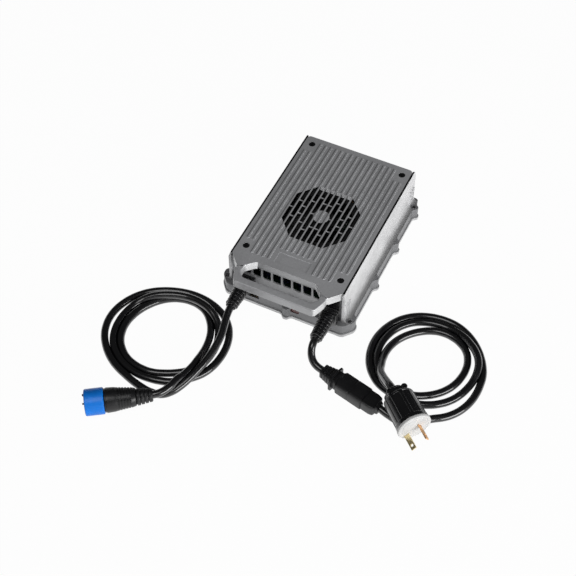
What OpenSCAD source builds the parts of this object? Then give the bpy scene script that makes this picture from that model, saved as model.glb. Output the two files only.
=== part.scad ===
// Electric motorcycle charger with its mains lead, in-line coupling, mains cord and charging cord.
// Millimetres, +Z up. The origin is under the middle of the case, on the surface that it stands on.
// The handle, the glands and the cords are at the front, on the -Y side.

/* [Case] */
// Height of the case from the floor to the top of the lid's ridges
case_h = 71; // [66:1:80]
// Width of the lid between the two side panels
lid_w = 143.2; // [136:0.4:150]
// Back edge of the lid
lid_back_y = 122.5; // [118:0.5:126]
// Where the lid's straight sides end and its front chamfers start
lid_side_end_y = -90.5; // [-92:0.5:-88]
// Height of the base tray
tray_h = 19; // [17:1:21]
// Widest point of the tray at its lobes, from the middle
lobe_x = 88; // [85:0.5:92]

/* [Handle] */
// Front face of the handle bar
bar_front_y = -128; // [-132:1:-126]
// Back edge of the bar, which is the front edge of the hand opening
bar_back_y = -118.5; // [-119:0.5:-117]
// Height of the bar
bar_h = 13; // [11:1:16]

/* [Fan and grille] */
// Middle of the fan and of the grille along Y
fan_y = 5; // [0:1:10]
// Distance between the lid's ridges, and between the grille's bars
ridge_pitch = 7.2; // [6.8:0.1:7.4]
// Outside of the square fan frame
fan_size = 80; // [78:1:82]
// Depth of the fan
fan_h = 25; // [20:1:26]
// Number of fan blades
fan_blades = 7; // [5:1:9]

/* [Front] */
// Middle of the mains gland, to the right of the case's middle
ac_x = 58; // [56:0.5:59]
// Middle of the charging gland, to the left of the case's middle
dc_x = -52; // [-54:0.5:-50]
// Height of both glands' axes
gland_z = 28.5; // [28:0.5:30]
// Distance between the vent windows
window_pitch = 13.2; // [13:0.1:14]

/* [Cords] */
// Diameter of the mains lead and cord
ac_cord_d = 9.2; // [8:0.2:10]
// Diameter of the charging cord
dc_cord_d = 9.2; // [8:0.2:10]
// Diameter of the plug's barrel at its face
plug_d = 39; // [36:1:41]
// Diameter of the blue coupling ring
ring_d = 31; // [29:1:33]

/* [Hidden] */
$fn = 48;

// Heights in the case
plate_h = 4;
ridge_h = 0.6;
ridge_n = floor((lid_w / 2 - 5.5) / ridge_pitch);
lid_top = case_h - ridge_h;
lid_z = case_h - 9;
lid_skin = 3;
lid_skin_z = lid_top - lid_skin;
// Side panels and gasket
gasket_t = 0.8;
panel_t = 3;
panel_x = lid_w / 2 + gasket_t;
panel_out = panel_x + panel_t;
panel_top = lid_top - 0.8;
panel_lip = 1.4;
// Tray outline
tray_back_y = 128;
tray_front_y = -101;
tray_step = 1.2;
waist = 5;
lobe_tip = 2.5;
lobe_foot = 6.5;
corner_lobe = 8;
corner_cut = 11;
front_tooth_x = 4;
tray_wall = 3;
front_wall_y = lid_side_end_y - 0.1;
back_wall_y = lid_back_y - 2;
// Lid outline, right half, from the back to the front
nose_x = 57.8;
nose_y = -105.5;
screw_x = lid_w / 2 - 10.2;
screw_ys = [back_wall_y - 10.1, front_wall_y + 16.6];
screw_d = 4;
screw_hole_d = screw_d + 0.3;
thread_hole_d = screw_d + 0.1;
screw_recess = 2.4;
head_d = 7.6;
pillar_d = 8;
thread_l = 18;
// Hand opening
hand_x = 38;
hand_y = front_wall_y - 0.6;
// Flat pad on the lid, which has no ridges
pad_y = -74;
// Vent windows
window_w = 10.8;
// Screws in the tray's lobes
lobe_ys = [112, 49, -14.5, -88];
lobe_screw_x = lobe_x - 7;
flange_hole_d = 5.2;
flange_head_d = 9.2;
base_head_d = 7;
base_thread_l = 10;
// Boards
board_z = 10;
board_t = 1.6;
board_w = 128;
board_y0 = -82;
board_y1 = 112;
board_top = board_z + board_t;
board_half = board_w / 2;
standoff_x = board_half - 6;
standoff_ys = [board_y0 + 22, board_y1 - 20];
board_screw_d = 2.5;
board_hole_d = board_screw_d + 0.1;
standoff_d = 7;
heat_sink_y = (board_y0 + board_y1) / 2 + 15;
heat_sink_x = board_half - 9;
sink_wall = 3;
// Middles of the board's parts, measured in from its side and end edges
transformer_in_x = 38;
transformer_in_y = 34;
choke_in_x = 34;
choke_in_y = 30;
cans_in_x = 22;
cans_in_y = 28;
bridge_in_x = 26;
bridge_in_y = 64;
card_in_x = 56;
card_in_y = 86;
fuse_in_x = 34;
fuse_in_y = 46;
relay_in_x = 56;
relay_in_y = 54;
mains_block_in_x = 24;
mains_block_in_y = 9;
output_block_in_x = 10;
output_block_in_y = 54;
// Fan: it hangs under the lid's skin, with its rotor turning about Z
fan_z = lid_skin_z - fan_h;
fan_bolt = fan_size / 2 - 4.25;
hub_d = 34;
stub_d = 3;
// Glands and their boots
gland_end_y = -136;
gland_hole_d = 14.1;
bushing_w = 22;
bushing_l = 11;
bushing_h = 2 * (gland_z - tray_h);
// Pockets in the tray's front wall
lens_x = 15;
port_x = -40;
pocket_z = 11;
pocket_h = 7;
pocket_back_y = -91.5;
lens_w = 11;
lens_t = 7.5;
port_w = 15;
port_l = 7.5;
port_wall = 1;
port_slot_w = 11;
// Coils on the floor
mains_coil_at = [184, -97, 0];
charge_coil_at = [-108, -195, 0];
coil_h = 18;
// In-line coupling on the floor
inline_way = unit2(21, -5);
collar_w = 27;
collar_h = 21;
collar_t = 2.6;
inline_start = [80, -160, collar_h / 2];
relief_l = 17;
inlet_l = 45;
line_l = 20;
// Mains plug: it lies on the mains coil
plug_way = unit2(9, -8);
rim = 0.7;
plug_rear = [177, -173, coil_h + plug_d / 2 + rim - 0.2];
plug_l = 43;
clamp_l = 10;
face_t = 4;
blade_l = 19;
blade_t = 1.5;
blade_w = 6.4;
// The blades' places on the face, which is turned about the plug's axis
blade_roll = 38;
live_y = 5;
neutral_y = -13.5;
blade_z = -2.5;
// Charging connector on the floor
charge_way = unit2(-12, -8);
charge_rear = [-79, -277, ring_d / 2];
charge_boot_l = 19;
charge_barrel_l = 36;
charge_ring_l = 22;
ring_bore_d = ring_d - 8.9;
ring_x = charge_boot_l + charge_barrel_l;

// Routes of the stretches that are not coiled, chosen by hand. Each end runs straight for a few
// millimetres, square to the face that it meets.
mains_lead_route = [
  [ac_x, gland_end_y, gland_z], [ac_x, gland_end_y - 3, gland_z], [ac_x + 0.5, -145, 25.5],
  [ac_x + 3, -151, 19], [ac_x + 9.5, -155, 13.5], inline_start - 4 * inline_way, inline_start
];
line_end = inline_start + (relief_l + inlet_l + line_l) * inline_way;
mains_start_route = [
  line_end, line_end + 5 * inline_way, [184, -182, 5.5], [202, -174, 5],
  [218, -163, 5], [230, -150, 7], [236, -136, 9]
];
plug_entry = plug_rear - clamp_l * plug_way;
mains_end_route = [
  [140, -132, 13], [148, -145, 20], [157, -155, 29], plug_entry - 5 * plug_way, plug_entry
];
charge_lead_route = [
  [dc_x, gland_end_y, gland_z], [dc_x, gland_end_y - 4, gland_z], [-50, -156, 27], [-46, -172, 25],
  [-43, -190, 23], [-44, -206, 16]
];
charge_end_route = [
  [-60, -232, 12], [-62.5, -244, 14.5], [-66, -258, 16], charge_rear - 6 * charge_way, charge_rear
];

function unit2(x, y) = [x, y, 0] / norm([x, y]);
function arc(c, r, a0, a1, n) = [
  for (i = [0:n]) let (a = a0 + (a1 - a0) * i / n) c + r * [cos(a), sin(a)]
];
function flipped(pts) = [for (i = [len(pts) - 1:-1:0]) [-pts[i][0], pts[i][1]]];

// A corner of a closed outline, rounded by a quadratic curve that starts and ends r from it
function corner(a, b, c, r, n = 5) =
  let (p = b + r * (a - b) / norm(a - b), q = b + r * (c - b) / norm(c - b))
  [for (i = [0:n]) let (t = i / n) (1 - t) * (1 - t) * p + 2 * t * (1 - t) * b + t * t * q];
function rounded(pts, r) = [
  for (i = [0:len(pts) - 1])
    each corner(pts[(i + len(pts) - 1) % len(pts)], pts[i], pts[(i + 1) % len(pts)], r[i])
];

// A smooth curve through the points of a route, with n steps between each two
function blend3(a, b, c, d, t) = 0.5 * (2 * b + (c - a) * t + (2 * a - 5 * b + 4 * c - d) * t * t
  + (3 * b - a - 3 * c + d) * t * t * t);
function smooth(pts, n, first = 0, last = 0) = let (end = len(pts) - 1) [
  if (first > 0) pts[0],
  for (i = [first:end - 1 - last], j = [0:n - 1])
    blend3(pts[max(i - 1, 0)], pts[i], pts[i + 1], pts[min(i + 2, end)], j / n),
  pts[end - last],
  if (last > 0) pts[end]
];
function way(pts, i) = let (d = pts[min(i + 1, len(pts) - 1)] - pts[max(i - 1, 0)]) d / norm(d);
function across(t) = let (s = cross(t, [0, 0, 1])) s / norm(s);

module tube(pts, d, sides = 10) {
  count = len(pts);
  rings = [
    for (i = [0:count - 1], k = [0:sides - 1])
      let (t = way(pts, i), s = across(t), u = cross(s, t), a = 360 * k / sides)
      pts[i] + d / 2 * (cos(a) * s + sin(a) * u)
  ];
  walls = [
    for (i = [0:count - 2], k = [0:sides - 1])
      let (m = (k + 1) % sides, a = i * sides, b = a + sides)
      each [[a + k, a + m, b + m], [a + k, b + m, b + k]]
  ];
  first = [for (k = [sides - 1:-1:0]) k];
  last = [for (k = [0:sides - 1]) (count - 1) * sides + k];
  polyhedron(points = rings, faces = concat([first], walls, [last]), convexity = 6);
}

// A box with its middle at x, y and its base at z
module block(x, y, z, w, l, h) {
  translate([x - w / 2, y - l / 2, z]) cube([w, l, h]);
}

// A piece laid along a direction in plan, with its own axis along +X from a point
module along(at, axis) {
  translate(at) rotate([0, 0, atan2(axis[1], axis[0])]) children();
}

// A cylinder along +X
module rod(x, d, l, d2 = -1) {
  translate([x, 0, 0]) rotate([0, 90, 0]) cylinder(d1 = d, d2 = d2 < 0 ? d : d2, h = l);
}

// Right half of the tray's outline, from the back to the front: three small lobes and a corner lobe
function tray_right(inset) =
  let (
    out = lobe_x - inset, in = out - waist, tip = lobe_tip - inset / 2, foot = lobe_foot - inset / 2,
    last = lobe_ys[3]
  )
  concat(
    [[in, tray_back_y - inset]],
    [for (i = [0:2], p = [[in, foot], [out, tip], [out, -tip], [in, -foot]]) [p[0], lobe_ys[i] + p[1]]],
    [[in, last + corner_lobe + foot - tip], [out, last + corner_lobe], [out, last]],
    [[out - corner_cut, tray_front_y + inset]]
  );
tray_radii = concat([5], [for (i = [0:2]) each [2.8, 1.7, 1.7, 2.8]], [2.8, 2.6, 4, 4]);

// The middle tooth of the tray's front edge
function front_tooth(inset) = [
  for (p = [[lobe_foot, 0], [lobe_tip, -waist], [-lobe_tip, -waist], [-lobe_foot, 0]])
    [front_tooth_x + p[0], tray_front_y + inset + p[1]]
];

// Outline of the tray: straight sides with lobes
module tray_outline(inset = 0) {
  right = tray_right(inset);
  polygon(rounded(
    concat(right, front_tooth(inset), flipped(right)),
    concat(tray_radii, [2.8, 1.7, 1.7, 2.8], [for (i = [len(tray_radii) - 1:-1:0]) tray_radii[i]])
  ));
}

// Holes in the four corner lobes, where the charger is bolted down
module flange_holes() {
  for (s = [-1, 1], y = [lobe_ys[0], lobe_ys[3]])
    translate([s * lobe_screw_x, y, -1]) cylinder(d = flange_hole_d, h = tray_h + 2);
}

// Holes in the four middle lobes, for the base screws
module screw_holes(d, z, h) {
  for (s = [-1, 1], y = [lobe_ys[1], lobe_ys[2]])
    translate([s * lobe_screw_x, y, z]) cylinder(d = d, h = h);
}

module bottom_plate() {
  color("silver")
    difference() {
      linear_extrude(plate_h) tray_outline();
      flange_holes();
      screw_holes(thread_hole_d, -1, plate_h + 2);
      screw_holes(base_head_d + 0.2, -1, 3);
    }
}

module base_tray() {
  inner_x = panel_x - 2;
  color("dimgray")
    difference() {
      translate([0, 0, plate_h]) linear_extrude(tray_h - plate_h) tray_outline(tray_step);
      block(0, (front_wall_y + back_wall_y) / 2, plate_h - 1, 2 * inner_x,
        back_wall_y - front_wall_y - 2 * tray_wall, tray_h);
      flange_holes();
      screw_holes(thread_hole_d, plate_h - 1, base_thread_l);
      window(lens_x, pocket_back_y - 10, pocket_z, lens_w, pocket_h, 20);
      block(port_x, pocket_back_y - 10, pocket_z, port_w, 20, pocket_h);
    }
}

// Profile of a side panel across X and Z: a wall with a foot that flares outwards
module panel_profile() {
  foot = 7;
  lean_h = 6;
  polygon(concat(
    [[panel_x, tray_h], [panel_x, panel_top], [panel_x + panel_lip, panel_top]],
    [[panel_out, panel_top - lean_h]],
    arc([panel_out + foot, tray_h + foot], foot, 180, 262, 8),
    [[panel_out + foot - 1, tray_h]]
  ));
}

module side_panel(side) {
  y0 = front_wall_y - 2.4;
  y1 = back_wall_y + 2.6;
  fin_h = 26;
  fin_t = 1.4;
  fin_w = 1.8;
  fin_step = 5;
  intersection() {
    mirror([side < 0 ? 1 : 0, 0, 0]) {
      difference() {
        translate([0, y1, 0]) rotate([90, 0, 0]) linear_extrude(y1 - y0) panel_profile();
        for (y = [lobe_ys[0], lobe_ys[3]])
          translate([lobe_screw_x, y, tray_h - 1]) cylinder(d = flange_head_d, h = 2 * fin_h);
      }
      for (i = [1:3], y = [y0 + i * fin_step, y1 - i * fin_step])
        block(panel_out + fin_w / 2 - 0.1, y, tray_h + 2, fin_w, fin_t, fin_h);
    }
    linear_extrude(case_h) tray_outline(tray_step);
  }
}

module side_panel_right() {
  color("gainsboro") side_panel(1);
}

module side_panel_left() {
  color("gainsboro") side_panel(-1);
}

// A window with straight sides and rounded lower corners, which cuts through a wall along Y
module window(x, y, z, w, h, l = 10) {
  r = 3;
  translate([x, y + l / 2, z]) rotate([90, 0, 0]) linear_extrude(l)
    polygon(rounded([[-w / 2, 0], [w / 2, 0], [w / 2, h], [-w / 2, h]], [r, r, 0.5, 0.5]));
}

module front_panel() {
  wall_t = 2;
  window_h = 17;
  window_rim = 3.5;
  color("gray")
    difference() {
      block(0, front_wall_y + wall_t / 2, tray_h, 2 * panel_x, wall_t, lid_z - tray_h);
      for (i = [-4:4])
        window(i * window_pitch, front_wall_y + wall_t / 2, lid_z - window_rim - window_h, window_w, window_h);
      for (x = [ac_x, dc_x])
        translate([x, front_wall_y - 3, gland_z]) rotate([-90, 0, 0]) cylinder(d = gland_hole_d, h = 9);
    }
}

module back_panel() {
  wall_t = 2;
  window_h = 28;
  color("gray")
    difference() {
      block(0, back_wall_y - wall_t / 2, tray_h, 2 * panel_x, wall_t, lid_z - tray_h);
      for (i = [-4:4])
        window(i * window_pitch, back_wall_y - wall_t / 2, tray_h + 8, window_w, window_h);
    }
}

function lid_right() = [
  [lid_w / 2, lid_back_y], [lid_w / 2, lid_side_end_y], [nose_x, nose_y],
  [nose_x, nose_y - 6], [nose_x - 6, bar_front_y]
];
function lid_points() = concat(lid_right(), flipped(lid_right()));
lid_radii = [5, 1.5, 1.5, 2.5, 4, 4, 2.5, 1.5, 1.5, 5];
function hand_points() = [
  [hand_x, hand_y], [hand_x + 11.5, hand_y - 11], [hand_x + 11.5, bar_back_y + 6],
  [hand_x + 6, bar_back_y], [-hand_x - 6, bar_back_y], [-hand_x - 11.5, bar_back_y + 6],
  [-hand_x - 11.5, hand_y - 11], [-hand_x, hand_y]
];

module grille_octagon() {
  half_x = 6 * ridge_pitch - 0.9;
  half_y = 44.5;
  cut_x = 20.5;
  cut_y = 22.5;
  polygon([
    [half_x, half_y - cut_y], [half_x - cut_x, half_y], [-half_x + cut_x, half_y], [-half_x, half_y - cut_y],
    [-half_x, -half_y + cut_y], [-half_x + cut_x, -half_y], [half_x - cut_x, -half_y], [half_x, -half_y + cut_y]
  ]);
}

// Heights of the ties in one column of the grille, from the outer column to the inner one
grille_ties = [[0], [-13.5, 13.5], [-6.1, 6.1], [-18.3, 18.3], [-27.7, 0, 27.7], [-20.3, 20.3]];

module grille_slots() {
  slot_w = ridge_pitch - 1.9;
  tie_w = 1.7;
  hub_disc_d = 20;
  difference() {
    intersection() {
      grille_octagon();
      union()
        for (i = [0:5], s = [-1, 1])
          translate([s * (5.5 - i) * ridge_pitch, 0]) square([slot_w, 100], center = true);
    }
    for (i = [0:5], s = [-1, 1], t = grille_ties[i])
      translate([s * (5.5 - i) * ridge_pitch, t]) square([slot_w + 0.2, tie_w], center = true);
    circle(d = hub_disc_d);
  }
}

// Front and back ends of the ridge at place i, counted from the middle
function ridge_front(i) = abs(i) <= 3 ? -61 : abs(i) <= 7 ? -81 : -63;
function ridge_back(i) = abs(i) <= 7 ? 115 : 97;

module ridge(x, y0, y1) {
  ridge_w = 2;
  block(x, (y0 + y1) / 2, lid_top - 0.2, ridge_w, y1 - y0, ridge_h + 0.2);
}

module top_cover() {
  rim_w = 7;
  hollow_x = panel_x - rim_w;
  boss_d = pillar_d + 4;
  pad_w = 42;
  pad_l = 16;
  color("darkgray")
    difference() {
      union() {
        translate([0, 0, lid_z]) linear_extrude(lid_top - lid_z) polygon(rounded(lid_points(), lid_radii));
        intersection() {
          translate([0, 0, case_h - bar_h]) linear_extrude(bar_h - ridge_h)
            polygon(rounded(lid_points(), lid_radii));
          block(0, front_wall_y - 1 - lid_w / 2, 0, 2 * lid_w, lid_w, 2 * case_h);
        }
        for (i = [-ridge_n:ridge_n])
          ridge(i * ridge_pitch, ridge_front(i), ridge_back(i));
      }
      linear_extrude(2 * case_h)
        polygon(rounded(hand_points(), [2, 3, 3, 2, 2, 3, 3, 2]));
      difference() {
        block(0, (front_wall_y + back_wall_y) / 2, lid_z - 1, 2 * hollow_x,
          back_wall_y - front_wall_y - rim_w - 1, lid_skin_z - lid_z + 1);
        for (s = [-1, 1], y = screw_ys)
          translate([s * screw_x, y, 0]) cylinder(d = boss_d, h = 2 * case_h);
      }
      translate([0, fan_y, lid_skin_z - 1]) linear_extrude(lid_skin + 4) grille_slots();
      for (s = [-1, 1], y = screw_ys) {
        translate([s * screw_x, y, lid_top - screw_recess]) cylinder(d = head_d + 1, h = screw_recess + 2);
        translate([s * screw_x, y, lid_z - 1]) cylinder(d = screw_hole_d, h = lid_top - lid_z);
      }
      block(0, pad_y, lid_top - 0.4, pad_w, pad_l, 2);
      for (a = [0:90:270])
        translate([0, fan_y, 0]) rotate([0, 0, a]) translate([fan_bolt, fan_bolt, lid_skin_z - 1])
          cylinder(d = thread_hole_d, h = 3);
    }
}

// A strip between the lid and each side panel, with a cap over the panel's top edge
module cover_gasket() {
  y0 = lid_side_end_y;
  y1 = lid_back_y - 1;
  cap_w = gasket_t + panel_lip;
  color("black")
    for (s = [-1, 1]) {
      block(s * (lid_w / 2 + gasket_t / 2), (y0 + y1) / 2, lid_z, gasket_t, y1 - y0, lid_top - lid_z - 0.4);
      block(s * (lid_w / 2 + cap_w / 2), (y0 + y1) / 2, panel_top, cap_w, y1 - y0, lid_top - panel_top);
    }
}

module cover_screws() {
  hex_d = 3.6;
  head_z = lid_top - screw_recess;
  tip_z = lid_z - thread_l + 2;
  color("black")
    for (s = [-1, 1], y = screw_ys)
      translate([s * screw_x, y, 0])
        difference() {
          union() {
            translate([0, 0, head_z]) cylinder(d = head_d, h = 2);
            translate([0, 0, tip_z]) cylinder(d = screw_d, h = head_z + 0.4 - tip_z);
          }
          translate([0, 0, head_z + 0.6]) cylinder(d = hex_d, h = 4, $fn = 6);
        }
}

module lid_pillars() {
  color("silver")
    for (s = [-1, 1], y = screw_ys)
      translate([s * screw_x, y, plate_h])
        difference() {
          cylinder(d = pillar_d, h = lid_z - plate_h);
          translate([0, 0, lid_z - plate_h - thread_l]) cylinder(d = thread_hole_d, h = thread_l + 2);
        }
}

module base_screws() {
  color("black")
    for (s = [-1, 1], y = [lobe_ys[1], lobe_ys[2]])
      translate([s * lobe_screw_x, y, 0]) {
        translate([0, 0, 0.3]) cylinder(d = base_head_d, h = 1.7);
        translate([0, 0, 1]) cylinder(d = screw_d, h = plate_h + base_thread_l - 3.4);
      }
}

module fan_frame() {
  corner_r = 5;
  bore_d = fan_size - 3.6;
  strut_w = 3.2;
  strut_t = 3;
  color("black")
    translate([0, fan_y, fan_z])
      difference() {
        union() {
          difference() {
            linear_extrude(fan_h)
              polygon(rounded([
                [fan_size / 2, fan_size / 2], [-fan_size / 2, fan_size / 2],
                [-fan_size / 2, -fan_size / 2], [fan_size / 2, -fan_size / 2]
              ], [corner_r, corner_r, corner_r, corner_r]));
            translate([0, 0, -1]) cylinder(d = bore_d, h = fan_h + 2);
          }
          cylinder(d = hub_d, h = strut_t);
          cylinder(d = stub_d, h = fan_h - 7);
          for (a = [0:90:270])
            rotate([0, 0, a + 20]) translate([hub_d / 2 - 1, -strut_w / 2, 0])
              cube([fan_size / 2 - hub_d / 2, strut_w, strut_t]);
        }
        for (a = [0:90:270])
          rotate([0, 0, a]) translate([fan_bolt, fan_bolt, -1]) cylinder(d = screw_hole_d, h = fan_h + 2);
      }
}

module fan_rotor() {
  tip_r = fan_size / 2 - 3;
  rotor_h = fan_h - 6;
  blade_thickness = 1.6;
  blade_angle = 38;
  color("dimgray")
    translate([0, fan_y, fan_z + 3.6])
      difference() {
        union() {
          cylinder(d = hub_d, h = rotor_h);
          intersection() {
            translate([0, 0, 0.6]) cylinder(r = tip_r, h = rotor_h - 1);
            for (a = [0:fan_blades - 1])
              rotate([0, 0, a * 360 / fan_blades])
                translate([tip_r / 2 + 4, 0, rotor_h / 2]) rotate([blade_angle, 0, 0])
                  cube([tip_r + 6, blade_thickness, 2 * rotor_h + 2], center = true);
          }
        }
        translate([0, 0, -1]) cylinder(d = stub_d + 0.1, h = rotor_h - 2);
      }
}

module fan_screws() {
  color("silver")
    translate([0, fan_y, 0])
      for (a = [0:90:270])
        rotate([0, 0, a]) translate([fan_bolt, fan_bolt, 0]) {
          translate([0, 0, fan_z - 2.4]) cylinder(d = head_d - 0.6, h = 2.4);
          translate([0, 0, fan_z - 1]) cylinder(d = screw_d, h = fan_h + 2.8);
        }
}

module main_board() {
  color("darkgreen")
    difference() {
      block(0, (board_y0 + board_y1) / 2, board_z, board_w, board_y1 - board_y0, board_t);
      for (s = [-1, 1], y = standoff_ys)
        translate([s * standoff_x, y, board_z - 1]) cylinder(d = board_hole_d, h = board_t + 2);
      for (s = [-1, 1], y = screw_ys)
        translate([s * screw_x, y, board_z - 1]) cylinder(d = pillar_d + 1, h = board_t + 2);
    }
}

module board_standoffs() {
  color("gold")
    for (s = [-1, 1], y = standoff_ys)
      translate([s * standoff_x, y, plate_h])
        difference() {
          cylinder(d = standoff_d, h = board_z - plate_h, $fn = 6);
          translate([0, 0, 1]) cylinder(d = board_hole_d, h = board_z);
        }
}

module board_screws() {
  color("silver")
    for (s = [-1, 1], y = standoff_ys)
      translate([s * standoff_x, y, 0]) {
        translate([0, 0, board_top]) cylinder(d = 2 * board_screw_d + 0.6, h = 2);
        translate([0, 0, board_top - 5]) cylinder(d = board_screw_d, h = 6);
      }
}

// The transformer's middle in plan, and its sizes
transformer_at = [transformer_in_x - board_half, board_y1 - transformer_in_y, board_top];
core_w = 42;
core_l = 40;
core_h = 24;
bobbin_w = 34;
bobbin_l = 50;
bobbin_h = 14;

module transformer_core() {
  color("darkslategray")
    translate(transformer_at)
      difference() {
        block(0, 0, 0, core_w, core_l, core_h);
        block(0, 0, (core_h - bobbin_h) / 2, bobbin_w, bobbin_l, bobbin_h);
      }
}

module transformer_winding() {
  color("goldenrod")
    translate(transformer_at)
      block(0, 0, (core_h - bobbin_h) / 2, bobbin_w, bobbin_l, bobbin_h);
}

// The choke's middle in plan, and its sizes
choke_at = [board_half - choke_in_x, board_y1 - choke_in_y, board_top];
choke_d = 38;
choke_h = 16;

module choke_core() {
  choke_bore_d = 20;
  color("darkolivegreen")
    translate(choke_at)
      difference() {
        cylinder(d = choke_d, h = choke_h);
        translate([0, 0, -1]) cylinder(d = choke_bore_d, h = choke_h + 2);
      }
}

module choke_winding() {
  turns = 14;
  wire_t = 2.5;
  wire_gap = 2;
  color("peru")
    translate(choke_at)
      difference() {
        cylinder(d = choke_d + 2 * wire_t, h = choke_h);
        translate([0, 0, -1]) cylinder(d = choke_d + 0.2, h = choke_h + 2);
        for (i = [0:turns - 1])
          rotate([0, 0, i * 360 / turns]) translate([choke_d / 4, -wire_gap / 2, -1])
            cube([choke_d / 2, wire_gap, choke_h + 2]);
      }
}

module bulk_capacitors() {
  can_d = 22;
  can_h = 30;
  can_step = 25;
  color("midnightblue")
    for (i = [0:2])
      translate([cans_in_x - board_half + i * can_step, board_y0 + cans_in_y, board_top])
        cylinder(d = can_d, h = can_h);
}

module heat_sinks() {
  fins = 9;
  sink_l = 90;
  sink_h = 28;
  fin_w = 5.2;
  fin_t = 1.6;
  fin_step = 10.5;
  color("silver")
    for (s = [-1, 1])
      translate([s * heat_sink_x, heat_sink_y, board_top]) {
        block(0, 0, 0, sink_wall, sink_l, sink_h);
        for (i = [0:fins - 1])
          block(s * (sink_wall + fin_w - 0.2) / 2, (i - (fins - 1) / 2) * fin_step, 0, fin_w, fin_t, sink_h);
      }
}

module power_transistors() {
  body_w = 15.6;
  body_t = 4.8;
  body_h = 20;
  body_step = 20;
  color("black")
    for (s = [-1, 1], i = [0:3])
      block(s * (heat_sink_x - (sink_wall + body_t) / 2), heat_sink_y + (i - 1.5) * body_step - 2, board_top,
        body_t, body_w, body_h);
}

module bridge_rectifier() {
  body_w = 22;
  body_t = 6;
  body_h = 18;
  color("black")
    block(board_half - bridge_in_x, board_y0 + bridge_in_y, board_top, body_w, body_t, body_h);
}

module control_card() {
  card_l = 42;
  card_h = 22;
  color("darkgreen")
    block(card_in_x - board_half, board_y1 - card_in_y, board_top, board_t, card_l, card_h);
}

module fuse() {
  fuse_d = 6.3;
  fuse_l = 12;
  clip_t = 3;
  clip_w = 8;
  fuse_x = board_half - fuse_in_x;
  fuse_y = board_y0 + fuse_in_y;
  color("white")
    translate([fuse_x, fuse_y, board_top + 4]) rotate([-90, 0, 0]) cylinder(d = fuse_d, h = fuse_l);
  color("silver")
    for (y = [fuse_y - 1, fuse_y + fuse_l - 1])
      block(fuse_x, y, board_top, clip_w, clip_t, clip_w);
}

module relay() {
  body_w = 16;
  body_l = 20;
  body_h = 15;
  color("navy")
    block(board_half - relay_in_x, board_y0 + relay_in_y, board_top, body_w, body_l, body_h);
}

// A terminal block with its long side along X or along Y
module terminal_block(x, y, w, l) {
  terminal_h = 16;
  color("seagreen")
    block(x, y, board_top, w, l, terminal_h);
}
terminal_l = 22;
terminal_w = 14;

module mains_terminal_block() {
  terminal_block(board_half - mains_block_in_x, board_y0 + mains_block_in_y, terminal_l, terminal_w);
}

module output_terminal_block() {
  terminal_block(output_block_in_x - board_half, board_y0 + output_block_in_y, terminal_w, terminal_l);
}

module indicator_lens() {
  color("darkred")
    window(lens_x, pocket_back_y - lens_t / 2, pocket_z, lens_w, pocket_h, lens_t);
}

module service_port() {
  color("black")
    difference() {
      block(port_x, pocket_back_y - port_l / 2, pocket_z, port_w, port_l, pocket_h);
      block(port_x, pocket_back_y - port_l / 2 - 3, pocket_z + port_wall, port_slot_w, port_l + 2,
        pocket_h - 2 * port_wall + 0.1);
    }
}

module port_contacts() {
  contact_step = 3;
  contact_l = 5;
  contact_w = 1.6;
  contact_t = 0.6;
  color("gold")
    for (i = [-1:1])
      block(port_x + i * contact_step, pocket_back_y - 2 - contact_l / 2, pocket_z + port_wall,
        contact_w, contact_l, contact_t);
}

// A flexible strain relief along -Y from the panel, with ribs round a tapering core
module boot(x) {
  ribs = 6;
  boot_r = 9.6;
  plain_l = 6;
  taper = 0.34;
  start_y = front_wall_y - bushing_l;
  len_y = start_y - gland_end_y;
  rib_step = (len_y - plain_l - 2) / ribs;
  translate([x, start_y, gland_z]) rotate([90, 0, 0])
    rotate_extrude()
      polygon(concat(
        [[0, 0], [boot_r, 0], [boot_r, plain_l]],
        [for (i = [0:ribs - 1], p = [[-1.0, 0.9], [0, 2.6], [0, 4.2], [-1.0, 4.4]])
          [boot_r - i * taper + p[0], plain_l + i * rib_step + p[1]]],
        [[boot_r - 2.6, len_y], [0, len_y]]
      ));
}

// A black bushing that grips the panel round its hole, with two grooves over its top and sides
module bushing(x, shield_h = 0) {
  groove = 1.5;
  shield_t = 2.4;
  difference() {
    union() {
      if (shield_h > 0)
        block(x, front_wall_y - shield_t / 2, tray_h, bushing_w + 2, shield_t, shield_h);
      block(x, front_wall_y - bushing_l / 2, gland_z - bushing_h / 2, bushing_w, bushing_l, bushing_h);
      translate([x, front_wall_y, gland_z]) rotate([-90, 0, 0]) cylinder(d = gland_hole_d - 0.1, h = 6);
    }
    for (y = [-4, -7.6])
      difference() {
        block(x, front_wall_y + y, 0, bushing_w + 10, groove, case_h);
        block(x, front_wall_y + y, 0, bushing_w - 2 * groove, 2 * groove, gland_z + bushing_h / 2 - groove);
      }
  }
}

module mains_bushing() {
  color("black") bushing(ac_x, case_h - bar_h - tray_h - 0.4);
}

module mains_boot() {
  color("black") boot(ac_x);
}

module charge_bushing() {
  color("black") bushing(dc_x);
}

module charge_boot() {
  color("black") boot(dc_x);
}

module mains_lead() {
  color("black") tube(smooth(mains_lead_route, 2, 1, 1), ac_cord_d);
}

// An eight-sided prism along +X with cut corners
module cut_box(x, l, w, h, cut) {
  translate([x, 0, 0]) rotate([90, 0, 90]) linear_extrude(l)
    polygon([
      [w / 2, h / 2 - cut], [w / 2 - cut, h / 2], [-w / 2 + cut, h / 2], [-w / 2, h / 2 - cut],
      [-w / 2, -h / 2 + cut], [-w / 2 + cut, -h / 2], [w / 2 - cut, -h / 2], [w / 2, -h / 2 + cut]
    ]);
}

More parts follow.
